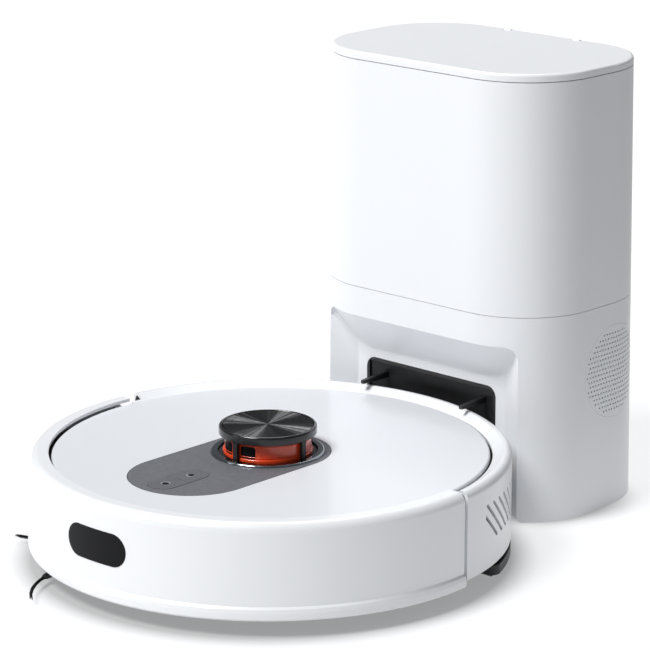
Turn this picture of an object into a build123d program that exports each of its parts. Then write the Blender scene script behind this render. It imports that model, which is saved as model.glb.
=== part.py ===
from build123d import *
import os
from math import sin, cos, tan, radians, sqrt, atan2, degrees

os.makedirs("parts", exist_ok=True)

# ---------------------------------------------------------------------------
# Robot vacuum cleaner parked in its self-emptying dock.  Millimetres, +Z up.
# Origin: centre of the dock's underside, on the floor.  The front faces -Y:
# the robot drives out of the dock towards -Y.  +X is the robot's left.
# ---------------------------------------------------------------------------

# ---- robot: driving dimensions ----
ROBOT_Y = -231.0          # robot's vertical axis when docked
R_ROBOT = 174.2           # bumper and shell wall radius
Z_RIM = 80.6              # height of the rim around the top
R_COVER = 158.4           # lift-off top cover
Z_COVER = 77.4            # top of the cover, a little below the rim
WALL = 2.4                # shell wall thickness
Z_BUMPER_LOW = 12.4
Z_SHELL_LOW = 16.0
BUMPER_END = 94.1         # bumper ends, degrees each way from straight ahead
SHELL_END = 95.2          # rear shell starts here, past the bumper's travel
PANEL_HALF = 45.5         # half-width of the dark control panel
PANEL_FRONT = -80.0       # centres of the panel's two round ends
PANEL_REAR = -3.0
BUTTON_HALF = 11.0
BUTTON_FRONT = -119.0
BUTTON_REAR = -67.5
TURRET_Y = -3.0
R_CAP = 35.5
Z_CAP = 98.0
CAP_THICK = 6.6
WINDOW_HALF_ANGLE = 9.4   # front sensor window
WINDOW_LOW, WINDOW_HIGH = 38.0, 61.6
WHEEL_R = 33.0
WHEEL_X0, WHEEL_X1 = 109.0, 126.0
PIVOT_Y, PIVOT_Z = -38.0, 42.0
BRUSH_Y, BRUSH_Z = 38.0, 21.0
BRUSH_R = 19.5
SIDE_X, SIDE_Y = -73.0, -124.0
SIDE_R = 79.0
CASTER_X, CASTER_Y = 20.0, -126.0
BASE_Z = 12.0             # underside of the chassis
DECK_Z = 68.5
R_CHASSIS = 167.5

# ---- dock: driving dimensions ----
DOCK_W = 240.0
DOCK_D = 160.0
DOCK_R = 63.6
DOCK_H = 341.6
DRAFT = 0.6               # degrees, walls lean inwards
SEAM_Z = 160.0
LID_Z = 335.2
DOCK_WALL = 3.0
NICHE_R = 190.0           # concave niche, concentric with the docked robot
NICHE_TOP = 137.5
NICHE_HALF = 98.0
FRAME_Y = 175.0           # frame plane, measured from the robot's axis
FRAME_TOP = 106.0
BAY_HALF = 65.0
BAY_TOP = 99.0
GRILLE_Y, GRILLE_Z, GRILLE_R = 19.0, 107.2, 34.5

FITC = 0.05               # radial clearance of a running fit


def level(z):
    """Horizontal plane at height z, centred on the robot's axis."""
    return Plane((0, ROBOT_Y, z))


def radial(theta):
    """Upright plane through the robot's axis; theta in degrees from straight ahead."""
    a = radians(theta)
    return Plane(origin=(0, ROBOT_Y, 0), x_dir=(sin(a), -cos(a), 0), z_dir=(-cos(a), -sin(a), 0))


ROBOT_AXIS = Axis((0, ROBOT_Y, 0), (0, 0, 1))


def side_plane(x):
    """Upright plane facing +X at x; its local axes are +Y and +Z, with the robot's axis at y 0."""
    return Plane(origin=(x, ROBOT_Y, 0), x_dir=(0, 1, 0), z_dir=(1, 0, 0))


def dock_side(x):
    return Plane(origin=(x, 0, 0), x_dir=(0, 1, 0), z_dir=(1, 0, 0))


def front_plane(y):
    """Upright plane facing -Y at y; its local axes are +X and +Z."""
    return Plane(origin=(0, y, 0), x_dir=(1, 0, 0), z_dir=(0, -1, 0))


PIECES = []


def save(builder, name):
    builder.part.label = name
    export_step(builder.part, "parts/" + name + ".step")
    PIECES.append(name)


# ===========================================================================
# ROBOT
# ===========================================================================

# ---- bumper: front half ring with a top flange and a flared foot ----
with BuildPart() as bumper:
    with BuildSketch(radial(-BUMPER_END)) as bumper_profile:
        with BuildLine():
            l1 = Line((160.2, Z_RIM), (167.6, Z_RIM))
            l2 = SagittaArc((167.6, Z_RIM), (R_ROBOT, 74.0), 1.93)
            l3 = Polyline((R_ROBOT, 74.0), (R_ROBOT, 22.0), (175.6, 20.4), (176.2, 17.5), (176.2, 13.6),
                          (175.4, Z_BUMPER_LOW), (173.0, Z_BUMPER_LOW), (173.0, 20.4), (171.8, 22.0), (171.8, 73.6))
            l4 = SagittaArc((171.8, 73.6), (167.3, 78.2), -1.3)
            l5 = Polyline((167.3, 78.2), (160.2, 78.2), (160.2, Z_RIM))
        make_face()
    revolve(axis=ROBOT_AXIS, revolution_arc=2 * BUMPER_END)
    # sensor window hole
    with BuildSketch(front_plane(ROBOT_Y - 150)):
        with Locations((0, (WINDOW_LOW + WINDOW_HIGH) / 2)):
            SlotOverall(2 * R_ROBOT * sin(radians(WINDOW_HALF_ANGLE)) + 0.3, WINDOW_HIGH - WINDOW_LOW + 0.3)
    extrude(amount=40, mode=Mode.SUBTRACT)
save(bumper, "bumper")

# ---- black sensor window, flush in the bumper ----
with BuildPart() as bumper_window:
    with BuildSketch(radial(-20)):
        with Locations(((172.0 + R_ROBOT + 0.35) / 2, (WINDOW_LOW + WINDOW_HIGH) / 2)):
            Rectangle(R_ROBOT + 0.35 - 172.0, 40)
    revolve(axis=ROBOT_AXIS, revolution_arc=40)
    with BuildSketch(front_plane(ROBOT_Y - 150)):
        with Locations((0, (WINDOW_LOW + WINDOW_HIGH) / 2)):
            SlotOverall(2 * R_ROBOT * sin(radians(WINDOW_HALF_ANGLE)), WINDOW_HIGH - WINDOW_LOW)
    extrude(amount=40, mode=Mode.INTERSECT)
save(bumper_window, "bumper_window")

# ---- rear shell: rear half ring, band sloping in to the cover, vents and dust port ----
with BuildPart() as rear_shell:
    with BuildSketch(radial(SHELL_END)) as shell_profile:
        with BuildLine():
            Line((167.6, Z_RIM), (169.0, Z_RIM))
            SagittaArc((169.0, Z_RIM), (R_ROBOT, 75.4), 1.52)
            Polyline((R_ROBOT, 75.4), (R_ROBOT, Z_SHELL_LOW), (R_ROBOT - WALL, Z_SHELL_LOW), (R_ROBOT - WALL, 75.0))
            SagittaArc((R_ROBOT - WALL, 75.0), (168.4, 78.2), -0.9)
            Polyline((168.4, 78.2), (161.0, 73.6), (160.3, 73.6), (160.3, 76.0), (167.6, Z_RIM))
        make_face()
    revolve(axis=ROBOT_AXIS, revolution_arc=360 - 2 * SHELL_END)
    # lap strips that close the view behind the bumper's ends
    for start in (91.6, 360 - 97.6):
        with BuildSketch(radial(start)):
            with Locations((170.2, 47)):
                Rectangle(1.8, 52)
        revolve(axis=ROBOT_AXIS, revolution_arc=6.0)
    for start in (SHELL_END, 360 - 97.6):
        with BuildSketch(radial(start)):
            with Locations((171.0, 47)):
                Rectangle(2.6, 52)
        revolve(axis=ROBOT_AXIS, revolution_arc=97.6 - SHELL_END)
    # slanted exhaust slots on the left rear, the first ones cut off by an upright line
    with BuildPart(mode=Mode.PRIVATE) as slots:
        for i in range(9):
            a = radians(105.3 + 3.5 * i)
            p = Plane(origin=(168 * sin(a), ROBOT_Y - 168 * cos(a), 50),
                      x_dir=(cos(a), sin(a), 0), z_dir=(sin(a), -cos(a), 0))
            with BuildSketch(p) as slot_sketch:
                SlotOverall(40.5, 2.6, rotation=-43)
                with Locations((0, 0)):
                    Rectangle(60, 27.6, mode=Mode.INTERSECT)
            extrude(amount=14)
        with BuildSketch(radial(103.4)):
            with Locations((174, 50)):
                Rectangle(24, 60)
        revolve(axis=ROBOT_AXIS, revolution_arc=-18, mode=Mode.SUBTRACT)
    add(slots.part, mode=Mode.SUBTRACT)
    # dust port to the dock, and the two charging windows
    with BuildSketch(front_plane(ROBOT_Y + 185)):
        with Locations((0, 46)):
            RectangleRounded(46, 24, 5)
        with Locations((-52, 34), (52, 34)):
            RectangleRounded(14, 22, 2)
    extrude(amount=32, mode=Mode.SUBTRACT)
    # wall sensor notch on the right flank
    with BuildSketch(radial(360 - 98.9)):
        with Locations((170, 76)):
            Rectangle(16, 14)
    revolve(axis=ROBOT_AXIS, revolution_arc=5, mode=Mode.SUBTRACT)
save(rear_shell, "rear_shell")

# ---- wall sensor window under the notch ----
with BuildPart() as wall_sensor_window:
    with BuildSketch(radial(360 - 98.7)):
        with Locations((166.4, 66.6)):
            Rectangle(4.0, 4.4)
    revolve(axis=ROBOT_AXIS, revolution_arc=3.2)
save(wall_sensor_window, "wall_sensor_window")

# ---- chassis base: bottom plate, inner wall, wheel lugs, caster socket, bosses ----
with BuildPart() as chassis_base:
    with BuildSketch(level(BASE_Z)):
        Circle(R_CHASSIS)
    extrude(amount=3)
    with BuildSketch(level(BASE_Z + 3)):
        Circle(R_CHASSIS)
        Circle(R_CHASSIS - 2.3, mode=Mode.SUBTRACT)
    extrude(amount=DECK_Z - BASE_Z - 3)
    # inner lugs stand beside the wells, outer lugs reach in from the well's front edge
    for s in (1, -1):
        with BuildSketch(Plane(origin=(s * 86.0, ROBOT_Y, 0), x_dir=(0, 1, 0), z_dir=(1, 0, 0))):
            with BuildLine():
                Polyline((-52, 13), (-46, 50), (-30, 50), (-24, 13), (-52, 13))
            make_face()
        extrude(amount=1.2, both=True)
        with BuildSketch(Plane(origin=(s * 106.2, ROBOT_Y, 0), x_dir=(0, 1, 0), z_dir=(1, 0, 0))):
            with BuildLine():
                Polyline((-56, 13), (-46, 50), (-31, 50), (-31, 34), (-50, 13), (-56, 13))
            make_face()
        extrude(amount=1.2, both=True)
    # wheel wells
    with BuildSketch(level(BASE_Z - 1)):
        for s in (1, -1):
            with Locations((s * 108.25, -4.5)):
                Rectangle(41.5, 89)
    extrude(amount=5, mode=Mode.SUBTRACT)
    for s in (1, -1):
        with BuildSketch(Plane(origin=(s * 106.2, ROBOT_Y, 0), x_dir=(0, 1, 0), z_dir=(1, 0, 0))):
            with BuildLine():
                Polyline((-58, 12), (-58, 15), (-47, 50), (-31, 50), (-31, 34), (-50.5, 12), (-58, 12))
            make_face()
        extrude(amount=1.2, both=True)
    # pivot pin holes
    with BuildSketch(side_plane(-112)):
        with Locations((PIVOT_Y, PIVOT_Z)):
            Circle(3.0)
    extrude(amount=224, mode=Mode.SUBTRACT)
    # brush mouth
    with BuildSketch(level(BASE_Z - 1)):
        with Locations((0, BRUSH_Y)):
            Rectangle(168.6, 48.6)
    extrude(amount=5, mode=Mode.SUBTRACT)
    # caster socket
    with BuildSketch(level(BASE_Z)):
        with Locations((CASTER_X, CASTER_Y)):
            Circle(24.5)
    extrude(amount=34)
    with BuildSketch(level(BASE_Z - 1)):
        with Locations((CASTER_X, CASTER_Y)):
            Circle(21.8)
    extrude(amount=20.5, mode=Mode.SUBTRACT)
    with BuildSketch(level(BASE_Z)):
        with Locations((CASTER_X, CASTER_Y)):
            Circle(4 + FITC)
    extrude(amount=40, mode=Mode.SUBTRACT)
    # side brush drive hole
    with BuildSketch(level(BASE_Z - 1)):
        with Locations((SIDE_X, SIDE_Y)):
            Circle(9)
    extrude(amount=5, mode=Mode.SUBTRACT)
    # cliff sensor holes
    with BuildSketch(level(BASE_Z - 1)):
        with Locations((60, -146), (-34, -154), (146, -52), (-146, -52)):
            RectangleRounded(20, 9, 2)
    extrude(amount=5, mode=Mode.SUBTRACT)
    # wall openings: exhaust behind the vents, dust port, charging contacts
    with BuildSketch(radial(101)):
        with Locations((166, 50)):
            Rectangle(10, 30)
    revolve(axis=ROBOT_AXIS, revolution_arc=34, mode=Mode.SUBTRACT)
    with BuildSketch(front_plane(ROBOT_Y + 175)):
        with Locations((0, 46)):
            RectangleRounded(50.6, 28.6, 5)
        with Locations((-52, 34), (52, 34)):
            Rectangle(18, 26)
    extrude(amount=30, mode=Mode.SUBTRACT)
    # clearance slot for the wall sensor
    with BuildSketch(radial(360 - 99.2)):
        with Locations((166.4, 66.6)):
            Rectangle(6, 5.4)
    revolve(axis=ROBOT_AXIS, revolution_arc=4.2, mode=Mode.SUBTRACT)
save(chassis_base, "chassis_base")

# ---- upper frame: deck under the cover, open above the dust bin ----
with BuildPart() as upper_frame:
    with BuildSketch(level(DECK_Z)):
        Circle(R_CHASSIS)
        with Locations((-2, 103)):
            RectangleRounded(160, 80, 8, mode=Mode.SUBTRACT)
        with Locations((0, TURRET_Y)):
            Circle(12, mode=Mode.SUBTRACT)
        with Locations((0, (BUTTON_FRONT + BUTTON_REAR) / 2)):
            RectangleRounded(14, 40, 3, mode=Mode.SUBTRACT)
    extrude(amount=2.5)
    # low rim that backs the gap around the cover
    with BuildSketch(level(DECK_Z + 2.5)):
        Circle(157.0)
        Circle(155.0, mode=Mode.SUBTRACT)
    extrude(amount=2.6)
    with BuildSketch(radial(360 - 99.2)):
        with Locations((169, 72)):
            Rectangle(14, 10)
    revolve(axis=ROBOT_AXIS, revolution_arc=4.2, mode=Mode.SUBTRACT)
save(upper_frame, "upper_frame")

# ---- top cover: lifts off over the dust bin ----
with BuildPart() as top_cover:
    with BuildSketch(level(Z_COVER - 2.8)):
        Circle(R_COVER)
    extrude(amount=2.8)
    fillet(top_cover.edges().group_by(Axis.Z)[-1], 1.4)
    with BuildSketch(level(Z_COVER - 4)):
        with Locations((0, PANEL_FRONT), (0, PANEL_REAR)):
            Circle(PANEL_HALF + 0.5)
        with Locations((0, (PANEL_FRONT + PANEL_REAR) / 2)):
            Rectangle(2 * PANEL_HALF + 1.0, PANEL_REAR - PANEL_FRONT)
    extrude(amount=8, mode=Mode.SUBTRACT)
save(top_cover, "top_cover")

# ---- dark control panel with the turret's round seat and the button slot ----
with BuildPart() as control_panel:
    with BuildSketch(level(Z_COVER - 2.8)):
        with Locations((0, PANEL_FRONT), (0, PANEL_REAR)):
            Circle(PANEL_HALF)
        with Locations((0, (PANEL_FRONT + PANEL_REAR) / 2)):
            Rectangle(2 * PANEL_HALF, PANEL_REAR - PANEL_FRONT)
        with Locations((0, TURRET_Y)):
            Circle(41.7, mode=Mode.SUBTRACT)
        with Locations((0, (BUTTON_FRONT + BUTTON_REAR) / 2)):
            SlotOverall(BUTTON_REAR - BUTTON_FRONT + 0.5, 2 * BUTTON_HALF + 0.5, rotation=90, mode=Mode.SUBTRACT)
    extrude(amount=2.8)
    # supporting skirt down to the deck
    with BuildSketch(level(DECK_Z + 2.5)):
        with Locations((0, PANEL_FRONT)):
            Circle(PANEL_HALF - 2)
        with Locations((0, (PANEL_FRONT + PANEL_REAR) / 2)):
            Rectangle(2 * PANEL_HALF - 4, PANEL_REAR - PANEL_FRONT)
        with Locations((0, PANEL_FRONT)):
            Circle(PANEL_HALF - 4, mode=Mode.SUBTRACT)
        with Locations((0, (PANEL_FRONT + PANEL_REAR) / 2)):
            Rectangle(2 * PANEL_HALF - 8, PANEL_REAR - PANEL_FRONT, mode=Mode.SUBTRACT)
        with Locations((0, TURRET_Y)):
            Circle(42.2, mode=Mode.SUBTRACT)
    extrude(amount=Z_COVER - 2.8 - DECK_Z - 2.5)
save(control_panel, "control_panel")


# ---- two push buttons sharing the pill-shaped slot ----
def button_blank(front, rear):
    """Half of the pill above, with a retaining flange below the panel."""
    with BuildPart() as blank:
        with BuildSketch(level(Z_COVER - 3.0)):
            with Locations((0, (BUTTON_FRONT + BUTTON_REAR) / 2)):
                SlotOverall(BUTTON_REAR - BUTTON_FRONT, 2 * BUTTON_HALF, rotation=90)
            with Locations((0, (front + rear) / 2)):
                Rectangle(40, rear - front, mode=Mode.INTERSECT)
        extrude(amount=3.2)
        with BuildSketch(level(Z_COVER - 4.2)):
            with Locations((0, (BUTTON_FRONT + BUTTON_REAR) / 2)):
                SlotOverall(BUTTON_REAR - BUTTON_FRONT + 3, 2 * BUTTON_HALF + 3, rotation=90)
            with Locations((0, (front + rear) / 2)):
                Rectangle(40, rear - front, mode=Mode.INTERSECT)
        extrude(amount=1.2)
    return blank


BUTTON_MID = (BUTTON_FRONT + BUTTON_REAR) / 2
with BuildPart() as power_button:
    add(button_blank(BUTTON_FRONT - 2, BUTTON_MID - 0.17).part)
save(power_button, "power_button")

with BuildPart() as home_button:
    add(button_blank(BUTTON_MID + 0.17, BUTTON_REAR + 2).part)
save(home_button, "home_button")

# ---- lidar turret: base ring, inner frame with posts, cap, spinning drum, lenses ----
with BuildPart() as lidar_base_ring:
    with BuildSketch(level(DECK_Z + 2.5)):
        with Locations((0, TURRET_Y)):
            Circle(41.5)
            Circle(36.4, mode=Mode.SUBTRACT)
    extrude(amount=79.0 - DECK_Z - 2.5)
    fillet(lidar_base_ring.edges().group_by(Axis.Z)[-1].sort_by(SortBy.RADIUS)[-1], 1.6)
save(lidar_base_ring, "lidar_base_ring")

with BuildPart() as lidar_frame:
    with BuildSketch(level(DECK_Z + 2.5)):
        with Locations((0, TURRET_Y)):
            Circle(36.2)
            Circle(3.0 + FITC, mode=Mode.SUBTRACT)
    extrude(amount=6.0)
    with BuildSketch(level(DECK_Z + 8.5)):
        with Locations((0, TURRET_Y)):
            with PolarLocations(33.9, 4, start_angle=-112):
                Rectangle(2.2, 4.2)
    extrude(amount=Z_CAP - CAP_THICK - DECK_Z - 8.5)
save(lidar_frame, "lidar_frame")

with BuildPart() as lidar_cap:
    with BuildSketch(level(Z_CAP - CAP_THICK)):
        with Locations((0, TURRET_Y)):
            Circle(R_CAP)
    extrude(amount=CAP_THICK)
    fillet(lidar_cap.edges().group_by(Axis.Z)[-1], 1.5)
    with BuildSketch(level(Z_CAP - CAP_THICK - 1)):
        with Locations((0, TURRET_Y)):
            Circle(30.5)
    extrude(amount=4.2, mode=Mode.SUBTRACT)
save(lidar_cap, "lidar_cap")

with BuildPart() as lidar_rotor:
    with BuildSketch(level(DECK_Z + 9.0)):
        with Locations((0, TURRET_Y)):
            Circle(31.4)
    extrude(amount=Z_CAP - CAP_THICK - 0.5 - DECK_Z - 9.0)
    with BuildSketch(level(DECK_Z + 3.2)):
        with Locations((0, TURRET_Y)):
            Circle(3.0)
    extrude(amount=6.0)
    # pockets for the two lens windows
    with BuildSketch(front_plane(ROBOT_Y + TURRET_Y - 24)):
        with Locations((-11, 84.4), (9, 84.4)):
            RectangleRounded(11, 9.6, 2)
    extrude(amount=12, mode=Mode.SUBTRACT)
save(lidar_rotor, "lidar_rotor")

with BuildPart() as lidar_lenses:
    with BuildSketch(level(79.4)):
        with Locations((0, TURRET_Y)):
            Circle(31.5)
            Circle(27.5, mode=Mode.SUBTRACT)
    extrude(amount=10)
    with BuildSketch(front_plane(ROBOT_Y + TURRET_Y - 24)):
        with Locations((-11, 84.4), (9, 84.4)):
            RectangleRounded(11, 9.6, 2)
    extrude(amount=12, mode=Mode.INTERSECT)
save(lidar_lenses, "lidar_lenses")

# ---- battery, boards ----
with BuildPart() as battery_pack:
    with BuildSketch(level(15.3)):
        with Locations((4, -78)):
            RectangleRounded(136, 44, 4)
    extrude(amount=38)
save(battery_pack, "battery_pack")


with BuildPart() as main_board:
    with BuildSketch(level(56)):
        with Locations((4, -76)):
            Rectangle(126, 66)
    extrude(amount=1.6)
    with BuildSketch(level(57.6)):
        with Locations((-20, -60), (30, -86)):
            Rectangle(16, 16)
        with Locations((-44, -92), (52, -58)):
            Rectangle(10, 20)
    extrude(amount=3)
save(main_board, "main_board")

# ---- main brush: housing, guard, core, bristle strips, motor and gearbox ----
with BuildPart() as brush_housing:
    with BuildSketch(level(BASE_Z + 3.2)):
        with Locations((0, BRUSH_Y)):
            Rectangle(168, 48)
    extrude(amount=29)
    with BuildSketch(side_plane(-81)):
        with Locations((BRUSH_Y, BRUSH_Z)):
            Circle(BRUSH_R + 1.8)
        with Locations((BRUSH_Y, BRUSH_Z - 15)):
            Rectangle(2 * (BRUSH_R + 1.8), 30)
    extrude(amount=162, mode=Mode.SUBTRACT)
    with BuildSketch(front_plane(ROBOT_Y + 70)):
        with Locations((0, 34)):
            RectangleRounded(70, 14, 3)
    extrude(amount=30, mode=Mode.SUBTRACT)
    with BuildSketch(side_plane(-90)):
        with Locations((BRUSH_Y, BRUSH_Z)):
            Circle(3 + FITC)
    extrude(amount=180, mode=Mode.SUBTRACT)
save(brush_housing, "brush_housing")

with BuildPart() as brush_guard:
    with BuildSketch(level(BASE_Z - 3.4)):
        with Locations((0, BRUSH_Y)):
            RectangleRounded(174, 56, 6)
            RectangleRounded(162, 43, 4, mode=Mode.SUBTRACT)
    extrude(amount=3.3)
save(brush_guard, "brush_guard")

with BuildPart() as main_brush_core:
    with BuildSketch(side_plane(-79.5)):
        with Locations((BRUSH_Y, BRUSH_Z)):
            Circle(8)
    extrude(amount=159)
    with BuildSketch(side_plane(-84)):
        with Locations((BRUSH_Y, BRUSH_Z)):
            Circle(3)
    extrude(amount=168)
save(main_brush_core, "main_brush_core")

with BuildPart() as main_brush_bristles:
    with BuildSketch(side_plane(-78)):
        with Locations((BRUSH_Y, BRUSH_Z)):
            with PolarLocations(13.8, 6):
                Rectangle(11.4, 2.0)
            Circle(BRUSH_R, mode=Mode.INTERSECT)
            Circle(8.0, mode=Mode.SUBTRACT)
    extrude(amount=156)
save(main_brush_bristles, "main_brush_bristles")

with BuildPart() as brush_motor:
    with BuildSketch(side_plane(-84.3)):
        with Locations((2, 54)):
            Circle(11)
    extrude(amount=42.8)
    with BuildSketch(side_plane(-87.2)):
        with BuildLine():
            Polyline((BRUSH_Y - 8, BRUSH_Z - 3), (BRUSH_Y + 8, BRUSH_Z - 3), (BRUSH_Y + 9, BRUSH_Z + 9),
                     (14, 64), (-6, 66), (-10, 50), (BRUSH_Y - 8, BRUSH_Z - 3))
        make_face()
    extrude(amount=2.9)
save(brush_motor, "brush_motor")



# ---- drive wheels: pivot pin, gearbox arm with axle, hub, tyre; left then right ----
def wheel_arm(s):
    with BuildPart() as arm:
        with BuildSketch(side_plane(88.2 if s > 0 else -104.0)):
            with Locations((PIVOT_Y, PIVOT_Z)):
                Circle(8)
            with Locations((0, WHEEL_R)):
                Circle(20)
            with BuildLine():
                Polyline((PIVOT_Y, PIVOT_Z + 8), (2, WHEEL_R + 20), (0, WHEEL_R - 12), (PIVOT_Y, PIVOT_Z - 8), (PIVOT_Y, PIVOT_Z + 8))
            make_face()
            with Locations((PIVOT_Y, PIVOT_Z)):
                Circle(3 + FITC, mode=Mode.SUBTRACT)
        extrude(amount=15.8)
        with BuildSketch(side_plane(104.0 if s > 0 else -126.0)):
            with Locations((0, WHEEL_R)):
                Circle(4)
        extrude(amount=22)
    return arm


def wheel_hub(s):
    with BuildPart() as hub:
        with BuildSketch(side_plane(WHEEL_X0 + 1.5 if s > 0 else -WHEEL_X1 + 1.5)):
            with Locations((0, WHEEL_R)):
                Circle(26)
                Circle(4 + FITC, mode=Mode.SUBTRACT)
        extrude(amount=WHEEL_X1 - WHEEL_X0 - 3)
        # dished outer face
        with BuildSketch(side_plane(WHEEL_X1 - 5.5 if s > 0 else -WHEEL_X1)):
            with Locations((0, WHEEL_R)):
                Circle(22)
                Circle(9, mode=Mode.SUBTRACT)
        extrude(amount=5.5, mode=Mode.SUBTRACT)
    return hub


def wheel_tyre(s):
    with BuildPart() as tyre:
        with BuildSketch(side_plane(WHEEL_X0 if s > 0 else -WHEEL_X1)):
            with Locations((0, WHEEL_R)):
                Circle(WHEEL_R)
                Circle(26, mode=Mode.SUBTRACT)
        extrude(amount=WHEEL_X1 - WHEEL_X0)
        # tread grooves
        with BuildSketch(side_plane(WHEEL_X0 - 1 if s > 0 else -WHEEL_X1 - 1)):
            with Locations((0, WHEEL_R)):
                with PolarLocations(WHEEL_R, 24, start_angle=-97.5 + 15):
                    Rectangle(4, 3)
        extrude(amount=WHEEL_X1 - WHEEL_X0 + 2, mode=Mode.SUBTRACT)
    return tyre


def pivot_pin(s):
    with BuildPart() as pin:
        with BuildSketch(side_plane(84.0 if s > 0 else -108.0)):
            with Locations((PIVOT_Y, PIVOT_Z)):
                Circle(3.0)
        extrude(amount=24.0)
    return pin


with BuildPart() as left_wheel_arm:
    add(wheel_arm(1).part)
save(left_wheel_arm, "left_wheel_arm")
with BuildPart() as right_wheel_arm:
    add(wheel_arm(-1).part)
save(right_wheel_arm, "right_wheel_arm")
with BuildPart() as left_wheel_hub:
    add(wheel_hub(1).part)
save(left_wheel_hub, "left_wheel_hub")
with BuildPart() as right_wheel_hub:
    add(wheel_hub(-1).part)
save(right_wheel_hub, "right_wheel_hub")
with BuildPart() as left_wheel_tyre:
    add(wheel_tyre(1).part)
save(left_wheel_tyre, "left_wheel_tyre")
with BuildPart() as right_wheel_tyre:
    add(wheel_tyre(-1).part)
save(right_wheel_tyre, "right_wheel_tyre")
with BuildPart() as wheel_pivot_pins:
    add(pivot_pin(1).part)
    add(pivot_pin(-1).part)
save(wheel_pivot_pins, "wheel_pivot_pins")

# ---- caster: swivelling fork and small wheel ----
CASTER_R = 13.0
TRAIL = 5.0
with BuildPart() as caster_fork:
    with BuildSketch(level(BASE_Z + 0.6)):
        with Locations((CASTER_X, CASTER_Y)):
            Circle(21.3)
    extrude(amount=18.0)
    with BuildSketch(level(BASE_Z + 18.6)):
        with Locations((CASTER_X, CASTER_Y)):
            Circle(4.0)
    extrude(amount=14.0)
    with BuildSketch(side_plane(CASTER_X - 7.9)):
        with Locations((CASTER_Y + TRAIL, CASTER_R)):
            Circle(CASTER_R + 0.6)
        with Locations((CASTER_Y + TRAIL, CASTER_R - 10)):
            Rectangle(2 * CASTER_R + 1.2, 20)
    extrude(amount=15.8, mode=Mode.SUBTRACT)
    # axle ears hang below the disc
    with BuildSketch(side_plane(CASTER_X - 10.4)):
        with Locations((CASTER_Y + TRAIL, CASTER_R)):
            Circle(4.5)
            Circle(2.0, mode=Mode.SUBTRACT)
    extrude(amount=2.5)
    with BuildSketch(side_plane(CASTER_X + 7.9)):
        with Locations((CASTER_Y + TRAIL, CASTER_R)):
            Circle(4.5)
            Circle(2.0, mode=Mode.SUBTRACT)
    extrude(amount=2.5)
    with BuildSketch(side_plane(CASTER_X - 10.4)):
        with Locations((CASTER_Y + TRAIL, CASTER_R)):
            Circle(2.0)
    extrude(amount=20.8)
save(caster_fork, "caster_fork")


with BuildPart() as caster_wheel:
    with BuildSketch(side_plane(CASTER_X - 7.0)):
        with Locations((CASTER_Y + TRAIL, CASTER_R)):
            Circle(CASTER_R)
            Circle(2.0 + FITC, mode=Mode.SUBTRACT)
    extrude(amount=14.0)
    fillet(caster_wheel.edges().filter_by(GeomType.CIRCLE).group_by(SortBy.RADIUS)[-1], 2.0)
save(caster_wheel, "caster_wheel")

# ---- side brush: motor, and the three-armed brush on its shaft ----
with BuildPart() as side_brush_motor:
    with BuildSketch(level(BASE_Z + 3.1)):
        with Locations((SIDE_X, SIDE_Y)):
            RectangleRounded(34, 30, 6)
            Circle(4 + FITC, mode=Mode.SUBTRACT)
    extrude(amount=30)
save(side_brush_motor, "side_brush_motor")

with BuildPart() as side_brush_hub:
    with BuildSketch(level(3.4)):
        with Locations((SIDE_X, SIDE_Y)):
            Circle(12)
    extrude(amount=7.6)
    fillet(side_brush_hub.edges().group_by(Axis.Z)[0], 2.0)
    with BuildSketch(level(11)):
        with Locations((SIDE_X, SIDE_Y)):
            Circle(4.0)
    extrude(amount=24)
save(side_brush_hub, "side_brush_hub")

# each arm is a flat strip that curves backwards to its tip
with BuildPart() as side_brush_arms:
    for k in range(3):
        a = radians(172.7 + 120 * k)
        u = (cos(a), sin(a))
        v = (-sin(a), cos(a))
        tip = (SIDE_X + SIDE_R * u[0], ROBOT_Y + SIDE_Y + SIDE_R * u[1])
        root = (SIDE_X + 11 * u[0] - 6 * v[0], ROBOT_Y + SIDE_Y + 11 * u[1] - 6 * v[1])
        mid = (SIDE_X + 44 * u[0] - 12.5 * v[0], ROBOT_Y + SIDE_Y + 44 * u[1] - 12.5 * v[1])
        with BuildSketch(Plane.XY.offset(4.2)):
            with BuildLine():
                ThreePointArc(root, mid, tip)
                m2 = (mid[0] + 5.4 * v[0], mid[1] + 5.4 * v[1])
                r2 = (root[0] + 9.0 * v[0], root[1] + 9.0 * v[1])
                t2 = (tip[0] + 3.0 * v[0], tip[1] + 3.0 * v[1])
                Line(tip, t2)
                ThreePointArc(t2, m2, r2)
                Line(r2, root)
            make_face()
            with Locations((SIDE_X, ROBOT_Y + SIDE_Y)):
                Circle(12.02, mode=Mode.SUBTRACT)
        extrude(amount=3.2)
save(side_brush_arms, "side_brush_arms")

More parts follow.
